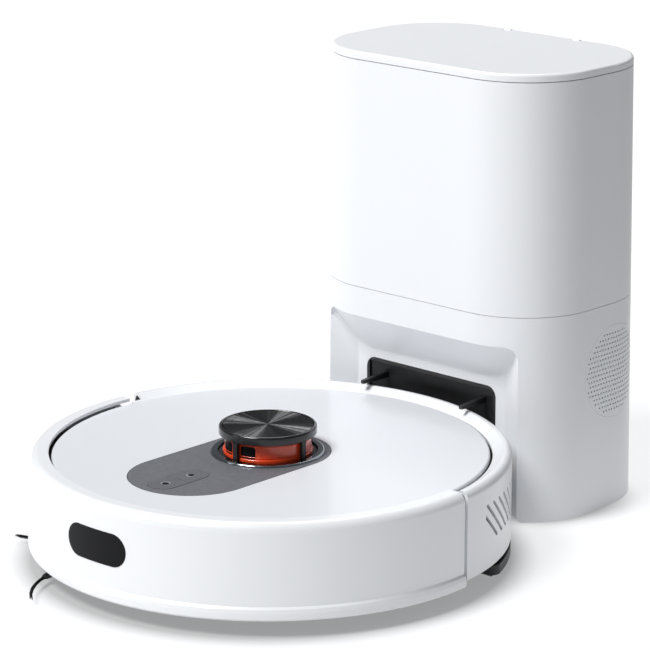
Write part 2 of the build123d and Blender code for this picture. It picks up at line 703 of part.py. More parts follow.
# ---- dust bin, filter, port duct ----
BIN_X0, BIN_X1, BIN_Y0, BIN_Y1, BIN_Z0, BIN_Z1 = -79.0, 74.0, 66.0, 140.0, 17.0, 70.5
with BuildPart() as dust_bin:
    with BuildSketch(level(BIN_Z0)):
        with Locations(((BIN_X0 + BIN_X1) / 2, (BIN_Y0 + BIN_Y1) / 2)):
            RectangleRounded(BIN_X1 - BIN_X0, BIN_Y1 - BIN_Y0, 6)
    extrude(amount=BIN_Z1 - BIN_Z0)
    with BuildSketch(level(BIN_Z0 + 2)):
        with Locations(((BIN_X0 + BIN_X1) / 2, (BIN_Y0 + BIN_Y1) / 2)):
            RectangleRounded(BIN_X1 - BIN_X0 - 4, BIN_Y1 - BIN_Y0 - 4, 4)
    extrude(amount=BIN_Z1 - BIN_Z0 - 4, mode=Mode.SUBTRACT)
    # spout to the dust port in the rear shell
    with BuildSketch(front_plane(ROBOT_Y + 171.2)):
        with Locations((0, 46)):
            RectangleRounded(44, 22, 4)
    extrude(amount=32)
    # inlet from the brush, outlet through the spout
    with BuildSketch(front_plane(ROBOT_Y + BIN_Y0 + 4)):
        with Locations((0, 34)):
            RectangleRounded(70, 14, 3)
    extrude(amount=8, mode=Mode.SUBTRACT)
    with BuildSketch(front_plane(ROBOT_Y + 172)):
        with Locations((0, 46)):
            RectangleRounded(40, 18, 3)
    extrude(amount=36, mode=Mode.SUBTRACT)
    # outlet to the fan on the left wall, covered by the filter
    with BuildSketch(side_plane(BIN_X1 - 6)):
        with Locations((92, 44)):
            RectangleRounded(36, 30, 4)
    extrude(amount=12, mode=Mode.SUBTRACT)
    # finger recess on top
    with BuildSketch(level(BIN_Z1 - 1)):
        with Locations((0, 103)):
            SlotOverall(60, 18)
    extrude(amount=2, mode=Mode.SUBTRACT)
save(dust_bin, "dust_bin")

with BuildPart() as dust_filter:
    with BuildSketch(side_plane(BIN_X1 - 9.2)):
        with Locations((93, 44)):
            Rectangle(42, 40)
    extrude(amount=7)
save(dust_filter, "dust_filter")


# ---- suction fan of the robot ----
FAN_X, FAN_Y = 111.0, 73.0
with BuildPart() as fan_housing:
    with BuildSketch(level(16)):
        with Locations((FAN_X, FAN_Y)):
            Circle(29)
    extrude(amount=48)
    with BuildSketch(level(20)):
        with Locations((FAN_X, FAN_Y)):
            Circle(26.5)
    extrude(amount=26, mode=Mode.SUBTRACT)
    # inlet towards the bin and outlet towards the vents
    with BuildSketch(side_plane(70)):
        with Locations((FAN_Y + 10, 34)):
            Rectangle(20, 22)
    extrude(amount=30, mode=Mode.SUBTRACT)
    with BuildSketch(side_plane(FAN_X + 5)):
        with Locations((FAN_Y, 34)):
            Rectangle(34, 22)
    extrude(amount=40, mode=Mode.SUBTRACT)
    # shaft bore
    with BuildSketch(level(40)):
        with Locations((FAN_X, FAN_Y)):
            Circle(2.5 + FITC)
    extrude(amount=20, mode=Mode.SUBTRACT)
save(fan_housing, "fan_housing")

with BuildPart() as robot_impeller:
    with BuildSketch(level(21)):
        with Locations((FAN_X, FAN_Y)):
            Circle(24)
    extrude(amount=2)
    with BuildSketch(level(23)):
        with Locations((FAN_X, FAN_Y)):
            with PolarLocations(15.5, 9):
                Rectangle(15, 1.4, rotation=28)
            Circle(24, mode=Mode.INTERSECT)
            Circle(7)
    extrude(amount=17)
    with BuildSketch(level(40)):
        with Locations((FAN_X, FAN_Y)):
            Circle(2.5)
    extrude(amount=17)
save(robot_impeller, "robot_impeller")

# ---- mop bracket, mop pad, water tank ----
with BuildPart() as mop_bracket:
    with BuildSketch(level(4.6)) as mop_outline:
        Circle(174.0)
        with Locations((0, 58 + 75)):
            Rectangle(322, 150, mode=Mode.INTERSECT)
        with Locations((0, 50)):
            Rectangle(190, 42, mode=Mode.SUBTRACT)
        fillet(mop_outline.vertices().group_by(Axis.Y)[0], 6)
    extrude(amount=7.2)
save(mop_bracket, "mop_bracket")

with BuildPart() as mop_pad:
    with BuildSketch(level(0)) as pad_outline:
        Circle(169.0)
        with Locations((0, 63 + 70)):
            Rectangle(400, 140, mode=Mode.INTERSECT)
        with Locations((0, 50)):
            Rectangle(200, 54, mode=Mode.SUBTRACT)
        fillet(pad_outline.vertices().group_by(Axis.Y)[0], 5)
    extrude(amount=4.5)
save(mop_pad, "mop_pad")

with BuildPart() as water_tank:
    with BuildSketch(level(BASE_Z + 3.2)) as tank_outline:
        Circle(163.5)
        with Locations((-100, 110)):
            Rectangle(36, 90, mode=Mode.INTERSECT)
    extrude(amount=48)
save(water_tank, "water_tank")


with BuildPart() as robot_charge_contacts:
    with BuildSketch(radial(180 - 17.5 - 1.9)):
        with Locations((R_ROBOT - 1.3, 34)):
            Rectangle(2.0, 16)
    revolve(axis=ROBOT_AXIS, revolution_arc=3.8)
    with BuildSketch(radial(180 + 17.5 - 1.9)):
        with Locations((R_ROBOT - 1.3, 34)):
            Rectangle(2.0, 16)
    revolve(axis=ROBOT_AXIS, revolution_arc=3.8)
save(robot_charge_contacts, "robot_charge_contacts")

with BuildPart() as chassis_screws:
    with BuildSketch(level(BASE_Z - 1.4)):
        with Locations((0, -160), (120, -104), (-122, -100), (150, 20), (-150, 20)):
            Circle(3.0)
    extrude(amount=1.4)
save(chassis_screws, "chassis_screws")

# ===========================================================================
# DOCK
# ===========================================================================
SLOPE = tan(radians(DRAFT))


def outline_size(z, inset=0.0):
    """Width, depth and corner radius of the dock's outline at height z."""
    return (DOCK_W - 2 * z * SLOPE - 2 * inset, DOCK_D - 2 * z * SLOPE - 2 * inset, DOCK_R - z * SLOPE - inset)


def dock_block(z0, z1, inset=0.0):
    """Drafted rounded block between two heights."""
    with BuildPart() as block:
        with BuildSketch(Plane.XY.offset(z0)):
            RectangleRounded(*outline_size(z0, inset))
        extrude(amount=z1 - z0, taper=DRAFT)
    return block.part


HOOD_INSET = FRAME_Y - (-ROBOT_Y - outline_size(FRAME_TOP)[1] / 2)


def niche_cutter(g, z_low=-1.0):
    """Space in front of the bay, grown by g: concave wall, flat frame, ceiling sloping up to the front."""
    with BuildPart() as hood:
        with BuildSketch(Plane.XY.offset(FRAME_TOP + g)):
            RectangleRounded(*outline_size(FRAME_TOP, HOOD_INSET + g))
        extrude(amount=NICHE_TOP - FRAME_TOP + 6, taper=-degrees(atan2(HOOD_INSET, NICHE_TOP - FRAME_TOP)))
    with BuildPart() as niche:
        with BuildSketch(Plane.XY.offset(z_low)):
            with Locations((0, ROBOT_Y)):
                Circle(NICHE_R + g)
            with Locations((0, ROBOT_Y + 100)):
                Rectangle(500, 2 * (FRAME_Y - 100 + g), mode=Mode.INTERSECT)
        extrude(amount=FRAME_TOP + g - z_low)
        with BuildSketch(Plane.XY.offset(FRAME_TOP + g)):
            with Locations((0, ROBOT_Y)):
                Circle(NICHE_R + g)
            with Locations((0, ROBOT_Y + 100)):
                Rectangle(500, 2 * (FRAME_Y - 100 + g), mode=Mode.INTERSECT)
        extrude(amount=NICHE_TOP - FRAME_TOP + 4)
        add(hood.part, mode=Mode.SUBTRACT)
        with BuildSketch(front_plane(-20)) as front_view:
            with Locations((0, (NICHE_TOP + g - 40) / 2)):
                RectangleRounded(2 * (NICHE_HALF + g), NICHE_TOP + g + 40, 16 + g)
        extrude(amount=140, mode=Mode.INTERSECT)
    return niche.part


LOWER_OUTER = dock_block(2.2, SEAM_Z - 0.2)
NICHE = niche_cutter(0.0)
NICHE_GROWN = niche_cutter(DOCK_WALL)
with BuildPart() as lower_cavity:
    add(dock_block(1.0, SEAM_Z + 1, DOCK_WALL))
    add(NICHE_GROWN, mode=Mode.SUBTRACT)

# ---- lower shell: outer wall, concave niche with soft inner corners, framed bay opening ----
with BuildPart() as dock_lower_shell:
    add(LOWER_OUTER)
    add(NICHE, mode=Mode.SUBTRACT)
    fillet([e for e in dock_lower_shell.edges()
            if -65.8 < e.center().Y < -50 and abs(e.center().X) < 94 and e.center().Z < 136 and e.length > 1], 4)
    fillet([e for e in dock_lower_shell.edges()
            if abs(e.center().Z - 137.1) < 0.4 and e.center().Y < -60 and e.length > 10], 1)
    add(lower_cavity.part, mode=Mode.SUBTRACT)
    with BuildSketch(front_plane(ROBOT_Y + FRAME_Y + 12)):
        with Locations((0, (BAY_TOP - 20) / 2)):
            RectangleRounded(2 * BAY_HALF, BAY_TOP + 20, 8.5)
    extrude(amount=26, mode=Mode.SUBTRACT)
    # seat of the exhaust grille on the left wall
    with BuildSketch(dock_side(90)):
        with Locations((GRILLE_Y, GRILLE_Z)):
            Circle(GRILLE_R + 1.5)
    extrude(amount=60, mode=Mode.SUBTRACT)
    # power inlet opening at the back
    with BuildSketch(front_plane(90)):
        with Locations((-62, 24)):
            RectangleRounded(26.4, 18.4, 3)
    extrude(amount=30, mode=Mode.SUBTRACT)
save(dock_lower_shell, "dock_lower_shell")

# ---- exhaust grille: round curved plate with rows of small holes ----
with BuildPart() as dock_exhaust_grille:
    add(dock_block(60, 150))
    add(dock_block(59, 151, 1.8), mode=Mode.SUBTRACT)
    with BuildSketch(dock_side(90)):
        with Locations((GRILLE_Y, GRILLE_Z)):
            Circle(GRILLE_R + 1.35)
    extrude(amount=60, mode=Mode.INTERSECT)
    with BuildPart(mode=Mode.PRIVATE) as grille_holes:
        with BuildSketch(dock_side(90)):
            spots = []
            for row in range(-9, 10):
                for col in range(-11, 12):
                    y = col * 3.3 + (1.65 if row % 2 else 0.0)
                    z = row * 3.7
                    if y * y + z * z < (GRILLE_R - 1.2) ** 2:
                        spots.append((GRILLE_Y + y, GRILLE_Z + z))
            with Locations(*spots):
                Circle(0.85)
        extrude(amount=60)
    add(grille_holes.part, mode=Mode.SUBTRACT)
save(dock_exhaust_grille, "dock_exhaust_grille")

# ---- upper shell ----
with BuildPart() as dock_upper_shell:
    add(dock_block(SEAM_Z + 0.2, LID_Z))
    add(dock_block(SEAM_Z - 1, LID_Z + 1, DOCK_WALL), mode=Mode.SUBTRACT)
    # locating rib that laps inside the lower shell
    add(dock_block(SEAM_Z - 5, SEAM_Z + 8, DOCK_WALL - 0.0))
    add(dock_block(SEAM_Z - 6, SEAM_Z + 9, DOCK_WALL + 1.8), mode=Mode.SUBTRACT)
    # hinge ears at the back
    HINGE_Y = outline_size(LID_Z)[1] / 2 - 3.5
    HINGE_Z = LID_Z + 4.1
    for s in (1, -1):
        with BuildSketch(dock_side(s * 34 - 3)):
            with Locations((HINGE_Y, HINGE_Z)):
                Circle(2.9)
            with Locations((HINGE_Y, HINGE_Z - 6)):
                Rectangle(5.8, 12)
            with Locations((HINGE_Y, HINGE_Z)):
                Circle(1.5, mode=Mode.SUBTRACT)
        extrude(amount=6)
save(dock_upper_shell, "dock_upper_shell")

# ---- lid with full-round rear edge on the hinge ----
with BuildPart() as dock_lid:
    add(dock_block(LID_Z + 0.6, DOCK_H))
    fillet(dock_lid.edges().group_by(Axis.Z)[-1], 2.2)
    # round the rear edge about the hinge axis
    with BuildPart(mode=Mode.PRIVATE) as rear_trim:
        with BuildSketch(dock_side(-130)):
            with Locations((HINGE_Y + 10, HINGE_Z)):
                Rectangle(20, 12)
            with Locations((HINGE_Y, HINGE_Z)):
                Circle(3.45, mode=Mode.SUBTRACT)
        extrude(amount=260)
    add(rear_trim.part, mode=Mode.SUBTRACT)
    for s in (1, -1):
        with BuildSketch(dock_side(s * 34 - 3.4)):
            with Locations((HINGE_Y + 2, HINGE_Z)):
                Rectangle(11, 12)
        extrude(amount=6.8, mode=Mode.SUBTRACT)
    with BuildSketch(dock_side(-46)):
        with Locations((HINGE_Y, HINGE_Z)):
            Circle(1.5 + FITC)
    extrude(amount=92, mode=Mode.SUBTRACT)
    # lip that drops inside the shell
    with BuildSketch(Plane.XY.offset(LID_Z - 4)):
        with Locations((0, -3)):
            RectangleRounded(206, 122, 44)
            RectangleRounded(202, 118, 42, mode=Mode.SUBTRACT)
    extrude(amount=4.8)
save(dock_lid, "dock_lid")


with BuildPart() as dock_hinge_pin:
    with BuildSketch(dock_side(-45)):
        with Locations((HINGE_Y, HINGE_Z)):
            Circle(1.5)
    extrude(amount=90)
save(dock_hinge_pin, "dock_hinge_pin")

# ---- bag chamber, dust bag and its collar ----
CH_Z0, CH_Z1 = 174.0, LID_Z - 5.0
with BuildPart() as dock_bag_chamber:
    with BuildSketch(Plane.XY.offset(CH_Z0)):
        with Locations((0, -3)):
            RectangleRounded(206, 122, 44)
    extrude(amount=CH_Z1 - CH_Z0)
    with BuildSketch(Plane.XY.offset(CH_Z0 + 2.2)):
        with Locations((0, -3)):
            RectangleRounded(201.6, 117.6, 41.8)
    extrude(amount=CH_Z1 - CH_Z0, mode=Mode.SUBTRACT)
    with BuildSketch(Plane.XY.offset(CH_Z0 - 1)):
        with Locations((-30, -10)):
            Circle(18)
        with Locations((62, 12)):
            Circle(22)
    extrude(amount=6, mode=Mode.SUBTRACT)
save(dock_bag_chamber, "dock_bag_chamber")


with BuildPart() as dock_dust_bag:
    with BuildSketch(Plane.XY.offset(CH_Z0 + 30)):
        with Locations((0, -4)):
            RectangleRounded(176, 92, 30)
    extrude(amount=100)
    fillet(dock_dust_bag.edges().group_by(Axis.Z)[-1], 18)
    fillet(dock_dust_bag.edges().group_by(Axis.Z)[0], 14)
    with BuildSketch(Plane.XY.offset(CH_Z0 + 5.5)):
        with Locations((-30, -10)):
            Circle(19)
    extrude(amount=30)
save(dock_dust_bag, "dock_dust_bag")


# ---- intake duct: from the port at the bay's back wall up to the bag collar ----
with BuildPart() as dock_intake_duct:
    with BuildSketch(Plane.XY.offset(56)):
        with Locations((-30, -10)):
            Circle(17)
    extrude(amount=CH_Z0 - 56.2)
    with BuildSketch(Plane.XY.offset(30)):
        with Locations((-18, -13.9)):
            RectangleRounded(70, 34, 10)
    extrude(amount=34)
    with BuildSketch(Plane.XY.offset(32)):
        with Locations((-18, -13.9)):
            RectangleRounded(66, 30, 8)
    extrude(amount=30, mode=Mode.SUBTRACT)
    with BuildSketch(Plane.XY.offset(60)):
        with Locations((-30, -10)):
            Circle(15)
    extrude(amount=120, mode=Mode.SUBTRACT)
    with BuildSketch(front_plane(-20)):
        with Locations((0, 46)):
            RectangleRounded(30, 20, 4)
    extrude(amount=20, mode=Mode.SUBTRACT)
save(dock_intake_duct, "dock_intake_duct")

# ---- suction fan of the dock ----
DF_Y, DF_Z = 22.0, 108.0
with BuildPart() as dock_fan_housing:
    with BuildSketch(dock_side(28)):
        with Locations((DF_Y, DF_Z)):
            Circle(42)
    extrude(amount=62)
    with BuildSketch(dock_side(31)):
        with Locations((DF_Y, DF_Z)):
            Circle(39.5)
    extrude(amount=26, mode=Mode.SUBTRACT)
    with BuildSketch(dock_side(60)):
        with Locations((DF_Y, DF_Z)):
            Circle(39.5)
            Circle(24, mode=Mode.SUBTRACT)
    extrude(amount=40, mode=Mode.SUBTRACT)
    # round inlet towards the middle, shaft bore
    with BuildSketch(dock_side(20)):
        with Locations((DF_Y, DF_Z)):
            Circle(16)
    extrude(amount=14, mode=Mode.SUBTRACT)
    with BuildSketch(dock_side(50)):
        with Locations((DF_Y, DF_Z)):
            Circle(3 + FITC)
    extrude(amount=30, mode=Mode.SUBTRACT)
save(dock_fan_housing, "dock_fan_housing")

with BuildPart() as dock_impeller:
    with BuildSketch(dock_side(52)):
        with Locations((DF_Y, DF_Z)):
            Circle(34)
    extrude(amount=2.2)
    with BuildSketch(dock_side(36)):
        with Locations((DF_Y, DF_Z)):
            with PolarLocations(23.5, 9):
                Rectangle(21, 1.8, rotation=28)
            Circle(34, mode=Mode.INTERSECT)
            Circle(9)
    extrude(amount=16)
    with BuildSketch(dock_side(54.2)):
        with Locations((DF_Y, DF_Z)):
            Circle(3)
    extrude(amount=22)
save(dock_impeller, "dock_impeller")


# ---- black bay liner with curved back wall and the two top rails ----
with BuildPart() as dock_bay_liner:
    with BuildSketch(Plane.XY.offset(3)):
        with Locations((0, ROBOT_Y + 187.5)):
            Rectangle(2 * BAY_HALF - 0.6, 25)
    extrude(amount=BAY_TOP - 3.3)
    # room for the robot's rear
    with BuildSketch(Plane.XY.offset(5.5)):
        with Locations((0, ROBOT_Y)):
            Circle(188.0)
        with Locations((0, ROBOT_Y + 188)):
            Rectangle(2 * BAY_HALF - 5.6, 40, mode=Mode.INTERSECT)
    extrude(amount=BAY_TOP - 3.3 - 5.0, mode=Mode.SUBTRACT)
    # hollow behind the curved back wall
    with BuildSketch(Plane.XY.offset(5.5)):
        with Locations((0, ROBOT_Y + 190)):
            Rectangle(2 * BAY_HALF - 5.6, 40)
        with Locations((0, ROBOT_Y)):
            Circle(190.6, mode=Mode.SUBTRACT)
    extrude(amount=BAY_TOP - 3.3 - 5.0, mode=Mode.SUBTRACT)
    with BuildSketch(front_plane(ROBOT_Y + 220)):
        with Locations((0, (BAY_TOP - 0.3 - 20) / 2)):
            RectangleRounded(2 * BAY_HALF - 0.6, BAY_TOP - 0.3 + 20, 8.3)
    extrude(amount=60, mode=Mode.INTERSECT)
    # suction port with a short tunnel
    with BuildSketch(front_plane(ROBOT_Y + 199.8)):
        with Locations((0, 46)):
            RectangleRounded(36, 26, 6)
    extrude(amount=11.0)
    with BuildSketch(front_plane(ROBOT_Y + 210)):
        with Locations((0, 46)):
            RectangleRounded(30, 20, 4)
    extrude(amount=40, mode=Mode.SUBTRACT)
    # rails that reach out over the robot's rear rim
    for s in (1, -1):
        with BuildSketch(side_plane(s * 49.5 - 1.5)):
            with BuildLine():
                Polyline((184, 88.0), (152.6, 86.4), (152.6, 83.8), (184, 83.0), (184, 88.0))
            make_face()
        extrude(amount=3.0)
save(dock_bay_liner, "dock_bay_liner")

with BuildPart() as dock_port_seal:
    with BuildSketch(front_plane(ROBOT_Y + 190)):
        with Locations((0, 46)):
            RectangleRounded(46, 30, 8)
            RectangleRounded(30, 20, 4, mode=Mode.SUBTRACT)
    extrude(amount=20)
    with BuildSketch(level(20)):
        Circle(187.95)
        Circle(R_ROBOT + 0.5, mode=Mode.SUBTRACT)
    extrude(amount=60, mode=Mode.INTERSECT)
save(dock_port_seal, "dock_port_seal")

with BuildPart() as dock_charge_contacts:
    for s in (1, -1):
        with BuildSketch(radial(180 - s * 17.5 - 1.2)):
            with Locations((181.6, 34)):
                RectangleRounded(12.6, 10, 2)
        revolve(axis=ROBOT_AXIS, revolution_arc=2.4)
save(dock_charge_contacts, "dock_charge_contacts")

# ---- base plate, feet, board, power inlet, screws ----
with BuildPart() as dock_base_plate:
    with BuildSketch(Plane.XY.offset(3.0)):
        RectangleRounded(*outline_size(3, DOCK_WALL + 0.15))
    extrude(amount=4)
    add(niche_cutter(DOCK_WALL + 0.15), mode=Mode.SUBTRACT)
    with BuildSketch(Plane.XY.offset(2)):
        with Locations((0, ROBOT_Y + 188)):
            Rectangle(2 * BAY_HALF, 26.0)
    extrude(amount=8, mode=Mode.SUBTRACT)
save(dock_base_plate, "dock_base_plate")

with BuildPart() as dock_rubber_feet:
    with BuildSketch(Plane.XY):
        with Locations((0, 0)):
            Circle(11)
        with Locations((84, 46), (-84, 46), (100, -26), (-100, -26)):
            Circle(9)
    extrude(amount=3.0)
save(dock_rubber_feet, "dock_rubber_feet")

with BuildPart() as dock_control_board:
    with BuildSketch(front_plane(70)):
        with Locations((10, 70)):
            Rectangle(90, 70)
    extrude(amount=1.6)
    with BuildSketch(front_plane(68.4)):
        with Locations((-12, 84), (34, 60)):
            Rectangle(20, 20)
        with Locations((30, 90)):
            Rectangle(12, 12)
    extrude(amount=6)
save(dock_control_board, "dock_control_board")

with BuildPart() as dock_power_inlet:
    with BuildSketch(front_plane(79.2)):
        with Locations((-62, 24)):
            RectangleRounded(26, 18, 3)
    extrude(amount=22)
    with BuildSketch(front_plane(80)):
        with Locations((-62, 24)):
            SlotOverall(15.6, 9)
    extrude(amount=16, mode=Mode.SUBTRACT)
    with BuildSketch(front_plane(76)):
        with Locations((-66.3, 24), (-57.7, 24)):
            Circle(1.2)
    extrude(amount=13)
save(dock_power_inlet, "dock_power_inlet")


print(len(PIECES), "pieces written")
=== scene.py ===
import bpy, bmesh, math, random
from mathutils import Vector, Matrix, Euler


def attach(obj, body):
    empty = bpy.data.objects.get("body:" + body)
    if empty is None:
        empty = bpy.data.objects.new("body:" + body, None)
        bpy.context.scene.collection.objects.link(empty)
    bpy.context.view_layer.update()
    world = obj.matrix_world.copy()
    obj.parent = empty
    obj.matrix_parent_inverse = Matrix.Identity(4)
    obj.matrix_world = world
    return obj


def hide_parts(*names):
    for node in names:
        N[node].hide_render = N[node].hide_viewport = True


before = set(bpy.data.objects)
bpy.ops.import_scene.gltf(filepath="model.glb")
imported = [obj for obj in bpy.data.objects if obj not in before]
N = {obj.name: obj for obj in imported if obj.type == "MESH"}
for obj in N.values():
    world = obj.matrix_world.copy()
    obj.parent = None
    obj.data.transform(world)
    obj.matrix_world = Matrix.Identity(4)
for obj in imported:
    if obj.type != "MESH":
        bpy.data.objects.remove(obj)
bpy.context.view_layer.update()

random.seed(7)
sin, cos, pi, rad = math.sin, math.cos, math.pi, math.radians
RY = -0.231                      # robot's axis
TX, TY = 0.0, RY - 0.003         # turret's axis


# ---------------------------------------------------------------- camera
scene = bpy.context.scene
cam_data = bpy.data.cameras.new("camera")
cam = bpy.data.objects.new("camera", cam_data)
scene.collection.objects.link(cam)
fwd = Vector((-0.659021, 0.712358, -0.241324)).normalized()
right = Vector((0.734054, 0.679092, 0.0)).normalized()
up = right.cross(fwd).normalized()
cam.matrix_world = Matrix(((right.x, up.x, -fwd.x, 1.48090), (right.y, up.y, -fwd.y, -1.76152),
                           (right.z, up.z, -fwd.z, 0.75961), (0, 0, 0, 1)))
cam_data.sensor_width = 36.0
cam_data.lens = 3085.9772 * 36.0 / 650.0
cam_data.shift_x = -0.01824
cam_data.shift_y = -0.12382
cam_data.clip_end = 50
scene.camera = cam


# ---------------------------------------------------------------- materials
def new_mat(name):
    m = bpy.data.materials.new(name)
    m.use_nodes = True
    nt = m.node_tree
    b = nt.nodes["Principled BSDF"]
    return m, nt, b


def coords(nt, offset=(0, 0, 0)):
    tc = nt.nodes.new("ShaderNodeTexCoord")
    mp = nt.nodes.new("ShaderNodeMapping")
    mp.inputs["Location"].default_value = offset
    nt.links.new(tc.outputs["Object"], mp.inputs["Vector"])
    return mp.outputs["Vector"]


def noise(nt, vec, scale, detail=3.0, rough=0.5):
    n = nt.nodes.new("ShaderNodeTexNoise")
    n.inputs["Scale"].default_value = scale
    n.inputs["Detail"].default_value = detail
    n.inputs["Roughness"].default_value = rough
    nt.links.new(vec, n.inputs["Vector"])
    return n.outputs["Fac"]


def ramp(nt, fac, stops):
    r = nt.nodes.new("ShaderNodeValToRGB")
    el = r.color_ramp.elements
    el[0].position, el[0].color = stops[0][0], (*stops[0][1], 1)
    el[1].position, el[1].color = stops[-1][0], (*stops[-1][1], 1)
    for p, c in stops[1:-1]:
        e = el.new(p)
        e.color = (*c, 1)
    nt.links.new(fac, r.inputs["Fac"])
    return r.outputs["Color"]


def remap(nt, fac, lo, hi, a=0.3, b=0.7):
    r = nt.nodes.new("ShaderNodeMapRange")
    r.inputs["From Min"].default_value = a
    r.inputs["From Max"].default_value = b
    r.inputs["To Min"].default_value = lo
    r.inputs["To Max"].default_value = hi
    nt.links.new(fac, r.inputs["Value"])
    return r.outputs["Result"]


def bump(nt, b, height, strength, distance, normal=None):
    n = nt.nodes.new("ShaderNodeBump")
    n.inputs["Strength"].default_value = strength
    n.inputs["Distance"].default_value = distance
    nt.links.new(height, n.inputs["Height"])
    if normal is not None:
        nt.links.new(normal, n.inputs["Normal"])
    nt.links.new(n.outputs["Normal"], b.inputs["Normal"])
    return n.outputs["Normal"]


def mul(c, k):
    return tuple(min(1.0, max(0.0, x * k)) for x in c)


def plastic(name, color, rough=0.35, var=0.02, grain=900.0, grain_strength=0.15, grain_depth=0.00004,
            coat=0.0, coat_rough=0.1, spec=0.5, wear=0.0, rough_var=0.06, subsurface=0.0):
    """Moulded plastic: slight colour drift, uneven gloss, fine spark-eroded grain."""
    m, nt, b = new_mat(name)
    v = coords(nt)
    base = ramp(nt, noise(nt, v, 9.0, 2.0), [(0.3, mul(color, 1 - var)), (0.7, mul(color, 1 + var))])
    nt.links.new(base, b.inputs["Base Color"])
    nt.links.new(remap(nt, noise(nt, v, 46.0, 5.0), rough - rough_var, rough + rough_var), b.inputs["Roughness"])
    bump(nt, b, noise(nt, v, grain, 3.0, 0.6), grain_strength, grain_depth)
    b.inputs["Specular IOR Level"].default_value = spec
    b.inputs["Coat Weight"].default_value = coat
    b.inputs["Coat Roughness"].default_value = coat_rough
    if subsurface:
        b.inputs["Subsurface Weight"].default_value = subsurface
        b.inputs["Subsurface Scale"].default_value = 0.002
    return m


def metal(name, color, rough=0.3, aniso=0.0, grain=400.0, strength=0.1, stretch=(1, 1, 1)):
    m, nt, b = new_mat(name)
    v = coords(nt)
    mp = nt.nodes.new("ShaderNodeMapping")
    mp.inputs["Scale"].default_value = stretch
    nt.links.new(v, mp.inputs["Vector"])
    sv = mp.outputs["Vector"]
    nt.links.new(ramp(nt, noise(nt, sv, 40.0, 3.0), [(0.3, mul(color, 0.93)), (0.7, mul(color, 1.04))]), b.inputs["Base Color"])
    nt.links.new(remap(nt, noise(nt, sv, grain, 3.0), rough - 0.08, rough + 0.08), b.inputs["Roughness"])
    b.inputs["Metallic"].default_value = 1.0
    b.inputs["Anisotropic"].default_value = aniso
    bump(nt, b, noise(nt, sv, grain, 3.0), strength, 0.00003)
    return m


def fabric(name, color, color2, scale=1400.0, depth=0.0004, sheen=0.4, rough=0.95, strength=0.6):
    m, nt, b = new_mat(name)
    v = coords(nt)
    w1 = nt.nodes.new("ShaderNodeTexVoronoi")
    w1.inputs["Scale"].default_value = scale
    nt.links.new(v, w1.inputs["Vector"])
    fac = w1.outputs["Distance"]
    big = noise(nt, v, 30.0, 4.0)
    mixn = nt.nodes.new("ShaderNodeMath")
    mixn.operation = "MULTIPLY_ADD"
    mixn.inputs[1].default_value = 0.6
    nt.links.new(fac, mixn.inputs[0])
    nt.links.new(big, mixn.inputs[2])
    nt.links.new(ramp(nt, mixn.outputs[0], [(0.25, color), (0.95, color2)]), b.inputs["Base Color"])
    nt.links.new(remap(nt, big, rough - 0.08, rough), b.inputs["Roughness"])
    b.inputs["Sheen Weight"].default_value = sheen
    b.inputs["Sheen Roughness"].default_value = 0.5
    bump(nt, b, fac, strength, depth)
    return m


M = {}
M["white"] = plastic("white_gloss_plastic", (0.84, 0.855, 0.88), 0.30, 0.004, 1500.0, 0.012, 0.00001, coat=0.3, coat_rough=0.14, rough_var=0.008)
M["white_dock"] = plastic("white_dock_plastic", (0.85, 0.865, 0.89), 0.34, 0.004, 1300.0, 0.02, 0.00001, coat=0.2, coat_rough=0.2, rough_var=0.008)
M["cover"] = plastic("white_cover_lacquer", (0.77, 0.79, 0.825), 0.30, 0.004, 1700.0, 0.008, 0.00001, coat=0.35, coat_rough=0.12, rough_var=0.008)
M["white_in"] = plastic("white_inner_plastic", (0.76, 0.77, 0.78), 0.5, 0.02, 700.0, 0.3)
M["black"] = plastic("black_plastic", (0.014, 0.014, 0.016), 0.46, 0.12, 1100.0, 0.35, 0.00005)
M["liner"] = plastic("bay_liner_plastic", (0.016, 0.0165, 0.018), 0.40, 0.12, 1100.0, 0.3, 0.00005)
M["dark"] = plastic("dark_grey_plastic", (0.05, 0.052, 0.056), 0.5, 0.1, 800.0, 0.35, 0.00006)
M["grey"] = plastic("grey_plastic", (0.22, 0.23, 0.24), 0.45, 0.05, 800.0, 0.3, 0.00005)
M["window"] = plastic("sensor_window_gloss", (0.004, 0.004, 0.005), 0.14, 0.2, 300.0, 0.02, 0.00001, coat=0.0, coat_rough=0.03, spec=0.13, rough_var=0.02)
M["rubber"] = plastic("rubber_tread", (0.022, 0.022, 0.024), 0.72, 0.1, 500.0, 0.5, 0.0001, spec=0.3)
M["seal"] = plastic("soft_seal_rubber", (0.03, 0.03, 0.032), 0.78, 0.1, 900.0, 0.4, 0.00006, spec=0.25)
M["orange"] = plastic("drum_orange", (0.82, 0.075, 0.018), 0.24, 0.06, 900.0, 0.05, 0.00002, coat=0.6, coat_rough=0.08)
M["smoke"] = plastic("smoked_bin_plastic", (0.10, 0.105, 0.112), 0.22, 0.05, 400.0, 0.05, 0.00002, coat=0.6, coat_rough=0.08)
M["steel"] = metal("steel", (0.58, 0.58, 0.60), 0.32, grain=900.0)
M["contact"] = metal("gold_contact", (0.83, 0.66, 0.33), 0.28)
M["ring"] = metal("turret_ring_metal", (0.30, 0.33, 0.35), 0.16, grain=1200.0, strength=0.05)
M["bag"] = fabric("nonwoven_bag", (0.70, 0.69, 0.64), (0.84, 0.83, 0.79), 900.0, 0.0004, 0.3)
M["mop"] = fabric("microfibre_mop", (0.20, 0.22, 0.25), (0.42, 0.45, 0.49), 1300.0, 0.0006, 0.6)
M["filter"] = fabric("filter_paper", (0.72, 0.72, 0.68), (0.86, 0.86, 0.83), 2200.0, 0.0002, 0.1)
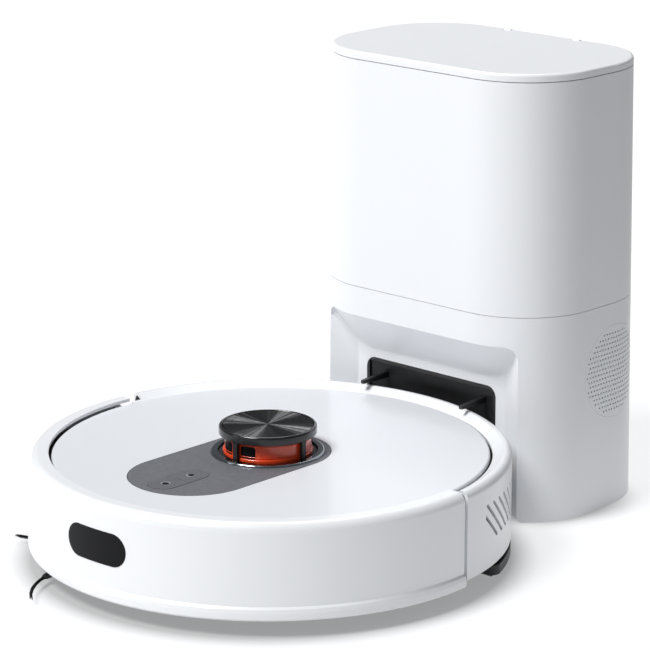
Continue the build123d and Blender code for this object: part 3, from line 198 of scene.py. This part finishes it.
M["bristle"] = plastic("bristle_nylon", (0.46, 0.045, 0.025), 0.5, 0.25, 2000.0, 0.4, 0.00005)
M["tuft"] = plastic("side_brush_nylon", (0.010, 0.010, 0.011), 0.55, 0.3, 2000.0, 0.3, 0.00004, spec=0.2)
M["card"] = plastic("bag_collar_card", (0.62, 0.58, 0.50), 0.8, 0.06, 600.0, 0.5, 0.00006, spec=0.2)
M["foam"] = fabric("exhaust_foam", (0.035, 0.036, 0.038), (0.10, 0.10, 0.105), 1100.0, 0.0006, 0.2)
M["arm_rubber"] = plastic("brush_arm_rubber", (0.012, 0.012, 0.013), 0.5, 0.1, 900.0, 0.3, 0.00005)


def pcb(name):
    m, nt, b = new_mat(name)
    v = coords(nt)
    br = nt.nodes.new("ShaderNodeTexBrick")
    br.inputs["Scale"].default_value = 260.0
    br.inputs["Color1"].default_value = (0.02, 0.12, 0.05, 1)
    br.inputs["Color2"].default_value = (0.03, 0.16, 0.07, 1)
    br.inputs["Mortar"].default_value = (0.30, 0.26, 0.10, 1)
    br.inputs["Mortar Size"].default_value = 0.015
    nt.links.new(v, br.inputs["Vector"])
    nt.links.new(br.outputs["Color"], b.inputs["Base Color"])
    nt.links.new(remap(nt, noise(nt, v, 200.0), 0.3, 0.5), b.inputs["Roughness"])
    bump(nt, b, br.outputs["Fac"], 0.2, 0.00005)
    return m


M["pcb"] = pcb("circuit_board")


def panel_mat(name, color):
    """Finely hairlined dark panel."""
    m, nt, b = new_mat(name)
    v = coords(nt)
    mp = nt.nodes.new("ShaderNodeMapping")
    mp.inputs["Scale"].default_value = (1.0, 0.06, 1.0)
    nt.links.new(v, mp.inputs["Vector"])
    h = noise(nt, mp.outputs["Vector"], 2600.0, 4.0, 0.7)
    nt.links.new(ramp(nt, h, [(0.35, mul(color, 0.78)), (0.65, mul(color, 1.22))]), b.inputs["Base Color"])
    nt.links.new(remap(nt, noise(nt, v, 300.0, 4.0), 0.38, 0.52), b.inputs["Roughness"])
    b.inputs["Specular IOR Level"].default_value = 0.5
    bump(nt, b, h, 0.25, 0.00003)
    return m


M["panel"] = panel_mat("panel_dark_hairline", (0.128, 0.134, 0.150))
M["pill"] = panel_mat("button_dark_hairline", (0.112, 0.117, 0.131))
# grey crescent on each button: painted glint, not a printed icon
M["icon"] = plastic("icon_print", (0.50, 0.51, 0.53), 0.5, 0.05, 900.0, 0.1)


def spun_mat(name):
    """Turned black metal: concentric tool-mark bumps, with radial streaks and wedges of painted highlight in the base
    colour.
    """
    m, nt, b = new_mat(name)
    v = coords(nt, (-TX, -TY, 0))
    sep = nt.nodes.new("ShaderNodeSeparateXYZ")
    nt.links.new(v, sep.inputs[0])
    ang = nt.nodes.new("ShaderNodeMath")
    ang.operation = "ARCTAN2"
    nt.links.new(sep.outputs["Y"], ang.inputs[0])
    nt.links.new(sep.outputs["X"], ang.inputs[1])
    # angle through cos and sin so that the pattern closes on itself; the noise on it makes narrow radial streaks of
    # painted highlight
    cs, sn = nt.nodes.new("ShaderNodeMath"), nt.nodes.new("ShaderNodeMath")
    cs.operation, sn.operation = "COSINE", "SINE"
    nt.links.new(ang.outputs[0], cs.inputs[0])
    nt.links.new(ang.outputs[0], sn.inputs[0])
    comb = nt.nodes.new("ShaderNodeCombineXYZ")
    nt.links.new(cs.outputs[0], comb.inputs[0])
    nt.links.new(sn.outputs[0], comb.inputs[1])
    fine = noise(nt, comb.outputs[0], 7.0, 4.0, 0.65)
    # four broad wedges of painted highlight at right angles, painted into the base colour where turned faces would
    # reflect the lamps
    dbl = nt.nodes.new("ShaderNodeMath")
    dbl.operation = "MULTIPLY_ADD"
    dbl.inputs[1].default_value = 4.0
    dbl.inputs[2].default_value = -1.1
    nt.links.new(ang.outputs[0], dbl.inputs[0])
    painted_wedge_wave = nt.nodes.new("ShaderNodeMath")
    painted_wedge_wave.operation = "COSINE"
    nt.links.new(dbl.outputs[0], painted_wedge_wave.inputs[0])
    add = nt.nodes.new("ShaderNodeMath")
    add.operation = "MULTIPLY_ADD"
    add.inputs[1].default_value = 0.16
    nt.links.new(painted_wedge_wave.outputs[0], add.inputs[0])
    nt.links.new(fine, add.inputs[2])
    # base colour runs from near black up to light grey: the streaks and wedges are painted highlight, not the metal's
    # own colour
    nt.links.new(ramp(nt, add.outputs[0], [(0.38, (0.006, 0.006, 0.007)), (0.52, (0.035, 0.036, 0.039)), (0.66, (0.24, 0.245, 0.25)), (0.78, (0.55, 0.55, 0.56))]),
                 b.inputs["Base Color"])
    b.inputs["Metallic"].default_value = 0.85
    b.inputs["Anisotropic"].default_value = 0.8
    tg = nt.nodes.new("ShaderNodeTangent")
    tg.direction_type = "RADIAL"
    tg.axis = "Z"
    nt.links.new(tg.outputs[0], b.inputs["Tangent"])
    wave = nt.nodes.new("ShaderNodeTexWave")
    wave.wave_type = "RINGS"
    wave.rings_direction = "Z"
    wave.inputs["Scale"].default_value = 520.0
    wave.inputs["Distortion"].default_value = 0.4
    nt.links.new(v, wave.inputs["Vector"])
    nt.links.new(remap(nt, noise(nt, v, 260.0, 3.0), 0.26, 0.40), b.inputs["Roughness"])
    bump(nt, b, wave.outputs["Fac"], 0.18, 0.00004)
    return m


M["spun"] = spun_mat("spun_black_metal_painted_highlight")
M["cap_side"] = plastic("cap_rim_black", (0.010, 0.011, 0.013), 0.20, 0.1, 900.0, 0.08, 0.00003, coat=0.3, coat_rough=0.1)

ASSIGN = {
    "white": ["bumper", "rear_shell"],
    "cover": ["top_cover"],
    "white_dock": ["dock_lower_shell", "dock_upper_shell", "dock_lid", "dock_exhaust_grille"],
    "white_in": ["dock_bag_chamber"],
    "window": ["bumper_window", "wall_sensor_window", "lidar_lenses"],
    "panel": ["control_panel"],
    "pill": ["power_button", "home_button"],
    "black": ["chassis_base", "upper_frame", "lidar_frame", "mop_bracket", "brush_guard", "dock_base_plate",
              "dock_power_inlet", "battery_pack"],
    "liner": ["dock_bay_liner"],
    "dark": ["brush_housing", "side_brush_motor", "brush_motor", "fan_housing", "left_wheel_arm", "right_wheel_arm",
             "caster_fork", "dock_fan_housing", "dock_intake_duct"],
    "grey": ["left_wheel_hub", "right_wheel_hub", "main_brush_core", "side_brush_hub", "caster_wheel",
             "robot_impeller", "dock_impeller"],
    "smoke": ["dust_bin", "water_tank"],
    "orange": ["lidar_rotor"],
    "spun": ["lidar_cap"],
    "ring": ["lidar_base_ring"],
    "rubber": ["left_wheel_tyre", "right_wheel_tyre"],
    "seal": ["dock_port_seal", "dock_rubber_feet"],
    "contact": ["robot_charge_contacts", "dock_charge_contacts"],
    "steel": ["wheel_pivot_pins", "dock_hinge_pin", "chassis_screws"],
    "bristle": ["main_brush_bristles"],
    "pcb": ["main_board", "dock_control_board"],
    "bag": ["dock_dust_bag"],
    "mop": ["mop_pad"],
    "filter": ["dust_filter"],
    "arm_rubber": ["side_brush_arms"],
}
for key, names in ASSIGN.items():
    for n in names:
        N[n].data.materials.clear()
        N[n].data.materials.append(M[key])
unassigned = set(N) - {n for ns in ASSIGN.values() for n in ns}
assert not unassigned, unassigned


# ---------------------------------------------------------------- helpers for new meshes
def obj_from_bm(bm, name, mat, smooth=True, body=None):
    me = bpy.data.meshes.new(name)
    bm.normal_update()
    for e in bm.edges:
        if len(e.link_faces) == 2 and e.calc_face_angle(0.0) > rad(38):
            e.smooth = False
    bm.to_mesh(me)
    bm.free()
    o = bpy.data.objects.new(name, me)
    scene.collection.objects.link(o)
    for mm in (mat if isinstance(mat, (list, tuple)) else [mat]):
        me.materials.append(mm)
    if smooth:
        for p in me.polygons:
            p.use_smooth = True
    if body:
        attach(o, body)
    return o


def lathe(profile, centre, steps=128, close=True):
    """bmesh of a profile [(r, z), ...] turned about the vertical through centre."""
    bm = bmesh.new()
    rings = []
    for r, z in profile:
        if r < 1e-7:
            rings.append([bm.verts.new((centre[0], centre[1], z))])
        else:
            rings.append([bm.verts.new((centre[0] + r * cos(2 * pi * i / steps), centre[1] + r * sin(2 * pi * i / steps), z))
                          for i in range(steps)])
    pairs = list(zip(rings, rings[1:] + ([rings[0]] if close else [])))
    for a, b in pairs:
        if len(a) == 1 and len(b) == 1:
            continue
        for i in range(steps):
            j = (i + 1) % steps
            if len(a) == 1:
                bm.faces.new((a[0], b[j], b[i]))
            elif len(b) == 1:
                bm.faces.new((a[i], a[j], b[0]))
            else:
                bm.faces.new((a[i], a[j], b[j], b[i]))
    bmesh.ops.recalc_face_normals(bm, faces=bm.faces)
    return bm


def stand_in(o, node, body):
    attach(o, body)
    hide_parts(node)
    return o


def extra(o, body):
    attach(o, body)
    return o


def bar(bm, path, widths, heights, sides=3, up=(0, 0, 1)):
    """Tapering strand or strip along a path; widths and heights are full sizes at each point."""
    rings = []
    n = len(path)
    for i, q in enumerate(path):
        q = Vector(q)
        d = (Vector(path[min(i + 1, n - 1)]) - Vector(path[max(i - 1, 0)])).normalized()
        side = d.cross(Vector(up)).normalized()
        upv = side.cross(d).normalized()
        w, h = widths[i] / 2, heights[i] / 2
        if sides == 4:
            offs = [(-w, -h), (w, -h), (w, h), (-w, h)]
        else:
            offs = [(w * cos(2 * pi * m / sides), h * sin(2 * pi * m / sides)) for m in range(sides)]
        rings.append([bm.verts.new(q + side * a + upv * b) for a, b in offs])
    for r0, r1 in zip(rings, rings[1:]):
        for m in range(len(r0)):
            k2 = (m + 1) % len(r0)
            bm.faces.new((r0[m], r0[k2], r1[k2], r1[m]))
    bm.faces.new(rings[0][::-1])
    bm.faces.new(rings[-1])


def box_piece(name, lo, hi, mat, bevel=0.0006):
    bm = bmesh.new()
    bmesh.ops.create_cube(bm, size=1.0)
    for v in bm.verts:
        v.co = Vector([lo[i] + (v.co[i] + 0.5) * (hi[i] - lo[i]) for i in range(3)])
    bmesh.ops.bevel(bm, geom=bm.edges[:], offset=bevel, segments=2, affect="EDGES", profile=0.5)
    return obj_from_bm(bm, name, mat)


# turret cap: turned disc let into a bevelled black rim
T = (TX, TY)
cap = obj_from_bm(lathe([(0.0, 0.0950), (0.0303, 0.0950), (0.0305, 0.0914), (0.0350, 0.0914), (0.0355, 0.0919), (0.0355, 0.0960),
                         (0.0354, 0.0968), (0.0350, 0.0975), (0.0344, 0.0979), (0.0337, 0.0980), (0.0332, 0.0977), (0.0330, 0.0972),
                         (0.0330, 0.0958), (0.0, 0.0958)], T, 160), "turret_cap_rim", M["cap_side"])
stand_in(cap, "lidar_cap", "robot")
disc = obj_from_bm(lathe([(0.0, 0.0959), (0.0325, 0.0959), (0.0328, 0.0962), (0.0328, 0.0973), (0.0325, 0.0976), (0.0, 0.0976)], T, 160),
                   "turret_cap_disc", M["spun"])
extra(disc, "robot")
# turret frame: floor disc with a post at the front, back and each side
bm = lathe([(0.0033, 0.0711), (0.0361, 0.0711), (0.0362, 0.0714), (0.0362, 0.0767), (0.0359, 0.0770), (0.0033, 0.0770)], T, 120)
for q in range(4):
    a = pi / 2 * q + 0.03
    foot = (TX + 0.03395 * cos(a), TY + 0.03395 * sin(a))
    bar(bm, [(foot[0], foot[1], z) for z in (0.0766, 0.0778, 0.0902, 0.0913)], [0.0050, 0.0040, 0.0040, 0.0050], [0.0021] * 4, 4,
        up=(cos(a), sin(a), 0))
stand_in(obj_from_bm(bm, "turret_frame", M["black"]), "lidar_frame", "robot")
# drum: flange at the foot and two fine ribs
for nm, r0, r1, z0, z1 in (("drum_flange", 0.0312, 0.03265, 0.07765, 0.0800), ("drum_rib_low", 0.0313, 0.0317, 0.0812, 0.0818),
                           ("drum_rib_high", 0.0313, 0.0317, 0.0893, 0.0899)):
    c = min(0.0003, (z1 - z0) / 3)
    o = obj_from_bm(lathe([(r0, z0), (r1 - c, z0), (r1, z0 + c), (r1, z1 - c), (r1 - c, z1), (r0, z1)], T, 128), nm, M["orange"])
    extra(o, "lidar_rotor")

# button marks: on each, a flat glossy black disc of painted dimple shade with a bright crescent of painted glint round
# its edge
for body, y, turn in (("power_button", -0.106, 0.3), ("home_button", -0.081, 2.6)):
    bm = bmesh.new()
    pts = []
    for i in range(19):
        t = turn + 4.4 * i / 18
        pts.append((0.0031 * cos(t), RY + y + 0.0031 * sin(t), 0.07764))
    w = [0.00012 + 0.00040 * sin(pi * i / 18) for i in range(19)]
    bar(bm, pts, w, [0.00012] * 19, 4)
    o = obj_from_bm(bm, body + "_glint_crescent", M["icon"])
    extra(o, body)
    d = obj_from_bm(lathe([(0.0, 0.07758), (0.0024, 0.07758), (0.0025, 0.07762), (0.0024, 0.07766), (0.0, 0.07766)], (0, RY + y), 40),
                    body + "_dimple_painted_shade", M["window"])
    extra(d, body)

# main brush: six twisted rows of nylon tufts
bm = bmesh.new()
for row in range(6):
    for i in range(74):
        x = -0.0775 + 0.155 * i / 73
        base = 2 * pi * row / 6 + 1.05 * (i / 73)
        for _ in range(4):
            t0 = base + random.uniform(-0.10, 0.10)
            t1 = base + random.uniform(-0.13, 0.13)
            L = random.uniform(0.0180, 0.0193)
            x0, x1 = x + random.uniform(-0.0008, 0.0008), x + random.uniform(-0.0010, 0.0010)
            x1 = max(-0.0779, min(0.0779, x1))
            p0 = (x0, RY + 0.038 + 0.0078 * cos(t0), 0.021 + 0.0078 * sin(t0))
            p1 = ((x0 + x1) / 2, RY + 0.038 + 0.0135 * cos((t0 + t1) / 2), 0.021 + 0.0135 * sin((t0 + t1) / 2))
            p2 = (x1, RY + 0.038 + L * cos(t1), 0.021 + L * sin(t1))
            bar(bm, (p0, p1, p2), (0.0005, 0.00042, 0.00022), (0.0005, 0.00042, 0.00022), 3, up=(1, 0, 0))
stand_in(obj_from_bm(bm, "brush_tufts", M["bristle"]), "main_brush_bristles", "main_brush")

# side brush: three rubber arms ending in fans of nylon
SX, SY = -0.073, RY - 0.124
rub, tuft = bmesh.new(), bmesh.new()


def arm_point(k, t, dv=0.0, z=0.0058):
    a = rad(172.7 + 120 * k)
    u = 0.011 + 0.068 * t
    v = -0.0015 * 2 * (t - 0.5) * (t - 1) + 0.0098 * 4 * t * (t - 1) + 0.0015 * 2 * t * (t - 0.5) + dv
    return (SX + u * cos(a) - v * sin(a), SY + u * sin(a) + v * cos(a), z)


for k in range(3):
    ts = [0.0, 0.05, 0.10, 0.16, 0.22, 0.28, 0.34, 0.38]
    bar(rub, [arm_point(k, t) for t in ts], [0.0088, 0.0078, 0.0066, 0.0054, 0.0048, 0.0044, 0.0040, 0.0028],
        [0.0030, 0.0030, 0.0028, 0.0026, 0.0026, 0.0028, 0.0026, 0.0016], 4)
    for i in range(64):
        s0, s1 = random.uniform(-0.0014, 0.0014), random.uniform(-0.0013, 0.0011)
        end = random.uniform(0.90, 0.985)
        z0, z1 = random.uniform(0.0052, 0.0064), random.uniform(0.0045, 0.0068)
        path = []
        for q in range(6):
            f = q / 5
            t = 0.32 + (end - 0.32) * f
            path.append(arm_point(k, t, s0 + (s1 - s0) * f, z0 + (z1 - z0) * f))
        bar(tuft, path, [0.00042, 0.0004, 0.00038, 0.00034, 0.0003, 0.0002], [0.00042, 0.0004, 0.00038, 0.00034, 0.0003, 0.0002], 3)
stand_in(obj_from_bm(rub, "side_brush_rubber_arms", M["arm_rubber"]), "side_brush_arms", "side_brush")
extra(obj_from_bm(tuft, "side_brush_tufts", M["tuft"]), "side_brush")

# mop pad: microfibre with a soft rolled edge and combed rows
bm = bmesh.new()
NX, NY = 150, 26
top, bot = [], []
for i in range(NX + 1):
    x = -0.1560 + 0.3120 * i / NX
    blend_in = min(1.0, max(0.0, (0.1035 - abs(x)) / 0.004))
    y0 = 0.0634 + (0.0140) * (blend_in * blend_in * (3 - 2 * blend_in))
    y1 = math.sqrt(0.1686 ** 2 - x * x)
    ct, cb = [], []
    for j in range(NY + 1):
        g = j / NY
        y = y0 + (y1 - y0) * g
        edge = min((y - y0), (y1 - y), 0.1560 - abs(x)) / 0.006
        e = math.sqrt(max(0.0, 1 - (1 - min(1.0, edge)) ** 2))
        row = 0.00028 * sin(x * 900 + 2.0 * sin(y * 160)) + 0.00012 * sin(y * 2100 + x * 300)
        ct.append(bm.verts.new((x, RY + y, 0.0022 + 0.0020 * e + 0.4 * row * e)))
        cb.append(bm.verts.new((x, RY + y, 0.0021 - 0.0015 * e + row * e)))
    top.append(ct)
    bot.append(cb)
for i in range(NX):
    for j in range(NY):
        bm.faces.new((top[i][j], top[i + 1][j], top[i + 1][j + 1], top[i][j + 1]))
        bm.faces.new((bot[i][j], bot[i][j + 1], bot[i + 1][j + 1], bot[i + 1][j]))
for j in range(NY):
    bm.faces.new((top[0][j], top[0][j + 1], bot[0][j + 1], bot[0][j]))
    bm.faces.new((top[NX][j + 1], top[NX][j], bot[NX][j], bot[NX][j + 1]))
for i in range(NX):
    bm.faces.new((top[i + 1][0], top[i][0], bot[i][0], bot[i + 1][0]))
    bm.faces.new((top[i][NY], top[i + 1][NY], bot[i + 1][NY], bot[i][NY]))
bmesh.ops.recalc_face_normals(bm, faces=bm.faces)
mop = stand_in(obj_from_bm(bm, "mop_microfibre_pad", M["mop"]), "mop_pad", "robot")

# dust bag: nonwoven pillow with wrinkles, seam and a card collar
BX, BY, BZ = 0.0, -0.004, 0.254
bm = bmesh.new()
NA, NZ = 144, 44
rings = []
for j in range(NZ + 1):
    ph = -pi / 2 + pi * j / NZ
    cz, sz = abs(cos(ph)) ** 0.42, math.copysign(abs(sin(ph)) ** 0.75, sin(ph))
    ring = []
    for i in range(NA):
        t = 2 * pi * i / NA
        cx, cy = math.copysign(abs(cos(t)) ** 0.50, cos(t)), math.copysign(abs(sin(t)) ** 0.50, sin(t))
        wr = 1.0 - 0.030 - 0.022 * sin(9 * t + 4 * sz) * cz - 0.014 * sin(17 * t - 7 * sz) - 0.010 * sin(31 * t + 11 * sz)
        seam = 0.020 * math.exp(-(sz / 0.05) ** 2)
        rr = wr + seam
        ring.append((BX + 0.0875 * cx * cz * rr, BY + 0.0455 * cy * cz * rr, BZ + 0.0490 * sz * (1 - 0.04 * (sin(5 * t) + 1) * cz)))
    rings.append(ring)
vr = []
for j, ring in enumerate(rings):
    if j in (0, NZ):
        c = [sum(q[a] for q in ring) / NA for a in range(3)]
        vr.append([bm.verts.new(c)])
    else:
        vr.append([bm.verts.new(q) for q in ring])
for a, b in zip(vr, vr[1:]):
    for i in range(NA):
        j = (i + 1) % NA
        if len(a) == 1:
            bm.faces.new((a[0], b[j], b[i]))
        elif len(b) == 1:
            bm.faces.new((a[i], a[j], b[0]))
        else:
            bm.faces.new((a[i], a[j], b[j], b[i]))
bmesh.ops.recalc_face_normals(bm, faces=bm.faces)
bag = stand_in(obj_from_bm(bm, "dust_bag_pillow", M["bag"]), "dock_dust_bag", "dock")
neck = obj_from_bm(lathe([(0.0150, 0.1800), (0.0186, 0.1800), (0.0189, 0.1804), (0.0189, 0.1835), (0.0176, 0.1845), (0.0174, 0.2130),
                          (0.0150, 0.2130)], (-0.030, -0.010), 72), "dust_bag_collar", M["card"])
extra(neck, "dock")

# pleated filter in its frame
bm = bmesh.new()
FY0, FY1, FZ0, FZ1 = RY + 0.0725, RY + 0.1135, 0.0245, 0.0635
n = 26
zig = [(0.0656 + (0.0052 if i % 2 else 0.0), FY0 + 0.002 + (FY1 - FY0 - 0.004) * i / n) for i in range(n + 1)]
front = [[bm.verts.new((x, y, z)) for z in (FZ0 + 0.002, FZ1 - 0.002)] for x, y in zig]
back = [[bm.verts.new((x + 0.0005, y, z)) for z in (FZ0 + 0.002, FZ1 - 0.002)] for x, y in zig]
for i in range(n):
    bm.faces.new((front[i][0], front[i][1], front[i + 1][1], front[i + 1][0]))
    bm.faces.new((back[i][0], back[i + 1][0], back[i + 1][1], back[i][1]))
    bm.faces.new((front[i][0], front[i + 1][0], back[i + 1][0], back[i][0]))
    bm.faces.new((front[i][1], back[i][1], back[i + 1][1], front[i + 1][1]))
for e in (0, n):
    bm.faces.new((front[e][0], back[e][0], back[e][1], front[e][1]))
bmesh.ops.recalc_face_normals(bm, faces=bm.faces)
stand_in(obj_from_bm(bm, "filter_pleats", M["filter"], smooth=False), "dust_filter", "robot")
for nm, lo, hi in (("a", (0.0650, FY0, FZ0), (0.0717, FY0 + 0.002, FZ1)), ("b", (0.0650, FY1 - 0.002, FZ0), (0.0717, FY1, FZ1)),
                   ("c", (0.0650, FY0 + 0.002, FZ0), (0.0717, FY1 - 0.002, FZ0 + 0.002)),
                   ("d", (0.0650, FY0 + 0.002, FZ1 - 0.002), (0.0717, FY1 - 0.002, FZ1))):
    extra(box_piece("filter_frame_" + nm, lo, hi, M["white_in"], 0.0003), "robot")

# foam behind the exhaust grille
foam = lathe([(0.0, 0.0030)] + [(0.0330 * q / 8, 0.0030) for q in range(1, 9)] + [(0.0330 * q / 8, 0.0) for q in range(8, 0, -1)] + [(0.0, 0.0)],
             (0, 0), 96)
for v in foam.verts:
    y, z = 0.019 + v.co.x, 0.1072 + v.co.y
    inner = 0.0636 - z * 0.01047 - 0.0036 - v.co.z
    v.co = Vector((0.0564 + math.sqrt(inner ** 2 - max(0.0, y - 0.0164) ** 2), y, z))
bmesh.ops.recalc_face_normals(foam, faces=foam.faces)
extra(obj_from_bm(foam, "exhaust_foam", M["foam"]), "dock")

# underside: cliff sensor windows and a battery door
for i, (x, y) in enumerate(((0.060, -0.146), (-0.034, -0.154), (0.146, -0.052), (-0.146, -0.052))):
    extra(box_piece("cliff_window_%d" % i, (x - 0.0096, RY + y - 0.0041, 0.0123), (x + 0.0096, RY + y + 0.0041, 0.0139), M["window"], 0.0008), "robot")
extra(box_piece("battery_door", (-0.064, RY - 0.100, 0.0110), (0.072, RY - 0.056, 0.0119), M["black"], 0.0004), "robot")


# ---------------------------------------------------------------- stage and light
def make_stage():
    bm = bmesh.new()
    s = 30.0
    vs = [bm.verts.new(p) for p in ((-s, -s, 0), (s, -s, 0), (s, s, 0), (-s, s, 0))]
    bm.faces.new(vs)
    m, nt, b = new_mat("pale_floor")
    v = coords(nt)
    nt.links.new(ramp(nt, noise(nt, v, 2.0), [(0.3, (0.24, 0.24, 0.24)), (0.7, (0.25, 0.25, 0.25))]), b.inputs["Base Color"])
    b.inputs["Emission Color"].default_value = (0.98, 0.99, 1.0, 1)

    def vmath(op, a, k3):
        q = nt.nodes.new("ShaderNodeVectorMath")
        q.operation = op
        nt.links.new(a, q.inputs[0])
        q.inputs[1].default_value = k3
        return q

    def smooth(val, lo, hi):
        q = nt.nodes.new("ShaderNodeMapRange")
        q.interpolation_type = "SMOOTHSTEP"
        q.inputs["From Min"].default_value = lo
        q.inputs["From Max"].default_value = hi
        nt.links.new(val, q.inputs["Value"])
        return q.outputs["Result"]

    def times(a, c):
        q = nt.nodes.new("ShaderNodeMath")
        q.operation = "MULTIPLY"
        nt.links.new(a, q.inputs[0])
        if isinstance(c, float):
            q.inputs[1].default_value = c
        else:
            nt.links.new(c, q.inputs[1])
        return q.outputs[0]

    # floor emission dimmed under and around the robot and dock: painted contact shadow on the floor
    round_off = vmath("LENGTH", vmath("ADD", v, (0.0, 0.231, 0.0)).outputs["Vector"], (0, 0, 0)).outputs["Value"]
    dock_off = vmath("LENGTH", vmath("MULTIPLY", v, (1.0, 1.5, 0.0)).outputs["Vector"], (0, 0, 0)).outputs["Value"]
    side = vmath("DOT_PRODUCT", vmath("ADD", v, (-1.4809, 1.7615, 0.0)).outputs["Vector"], (0.8007, 0.5991, 0.0)).outputs["Value"]
    # floor emission fading away to the right of the camera: painted shade on the floor, which also dims the bounce onto
    # right-hand sides
    painted_right_shade = nt.nodes.new("ShaderNodeMapRange")
    painted_right_shade.interpolation_type = "SMOOTHSTEP"
    painted_right_shade.inputs["From Min"].default_value = 0.04
    painted_right_shade.inputs["From Max"].default_value = 0.30
    painted_right_shade.inputs["To Min"].default_value = 1.0
    painted_right_shade.inputs["To Max"].default_value = 0.35
    nt.links.new(side, painted_right_shade.inputs["Value"])
    painted_shadow_mask = times(smooth(round_off, 0.155, 0.20), smooth(dock_off, 0.09, 0.150))
    # the painted contact shadow never drops below 0.40, so it stays faint
    lift = nt.nodes.new("ShaderNodeMath")
    lift.operation = "MAXIMUM"
    nt.links.new(painted_shadow_mask, lift.inputs[0])
    lift.inputs[1].default_value = 0.40
    nt.links.new(times(times(lift.outputs[0], painted_right_shade.outputs["Result"]), 0.80), b.inputs["Emission Strength"])
    b.inputs["Roughness"].default_value = 0.9
    b.inputs["Specular IOR Level"].default_value = 0.1
    o = obj_from_bm(bm, "floor", m, smooth=False)


def area(name, loc, target, size, power, color=(1, 1, 1), size_y=None):
    l = bpy.data.lights.new(name, "AREA")
    l.energy = power
    l.size = size
    if size_y:
        l.shape = "RECTANGLE"
        l.size_y = size_y
    l.color = color
    o = bpy.data.objects.new(name, l)
    o.location = loc
    o.rotation_euler = (Vector(target) - Vector(loc)).to_track_quat("-Z", "Y").to_euler()
    scene.collection.objects.link(o)
    return o


make_stage()
sun_data = bpy.data.lights.new("key", "SUN")
sun_data.energy = 3.05
sun_data.angle = rad(22)
sun_data.color = (1.0, 0.997, 0.99)
sun = bpy.data.objects.new("key", sun_data)
sun.rotation_euler = Vector((-0.165, -0.52, 0.80)).to_track_quat("Z", "Y").to_euler()
scene.collection.objects.link(sun)
area("top", (-0.9, 0.6, 2.2), (0, -0.1, 0.1), 1.4, 17.0, (0.97, 0.985, 1.0))
area("glint", (-1.3, -1.9, 0.9), (0, -0.23, 0.08), 0.35, 2.2, (1.0, 1.0, 1.0))
world = bpy.data.worlds.new("studio")
scene.world = world
world.use_nodes = True
bg = world.node_tree.nodes["Background"]
bg.inputs["Color"].default_value = (0.93, 0.955, 1.0, 1)
bg.inputs["Strength"].default_value = 0.16
scene.view_settings.view_transform = "Standard"
scene.view_settings.look = "None"
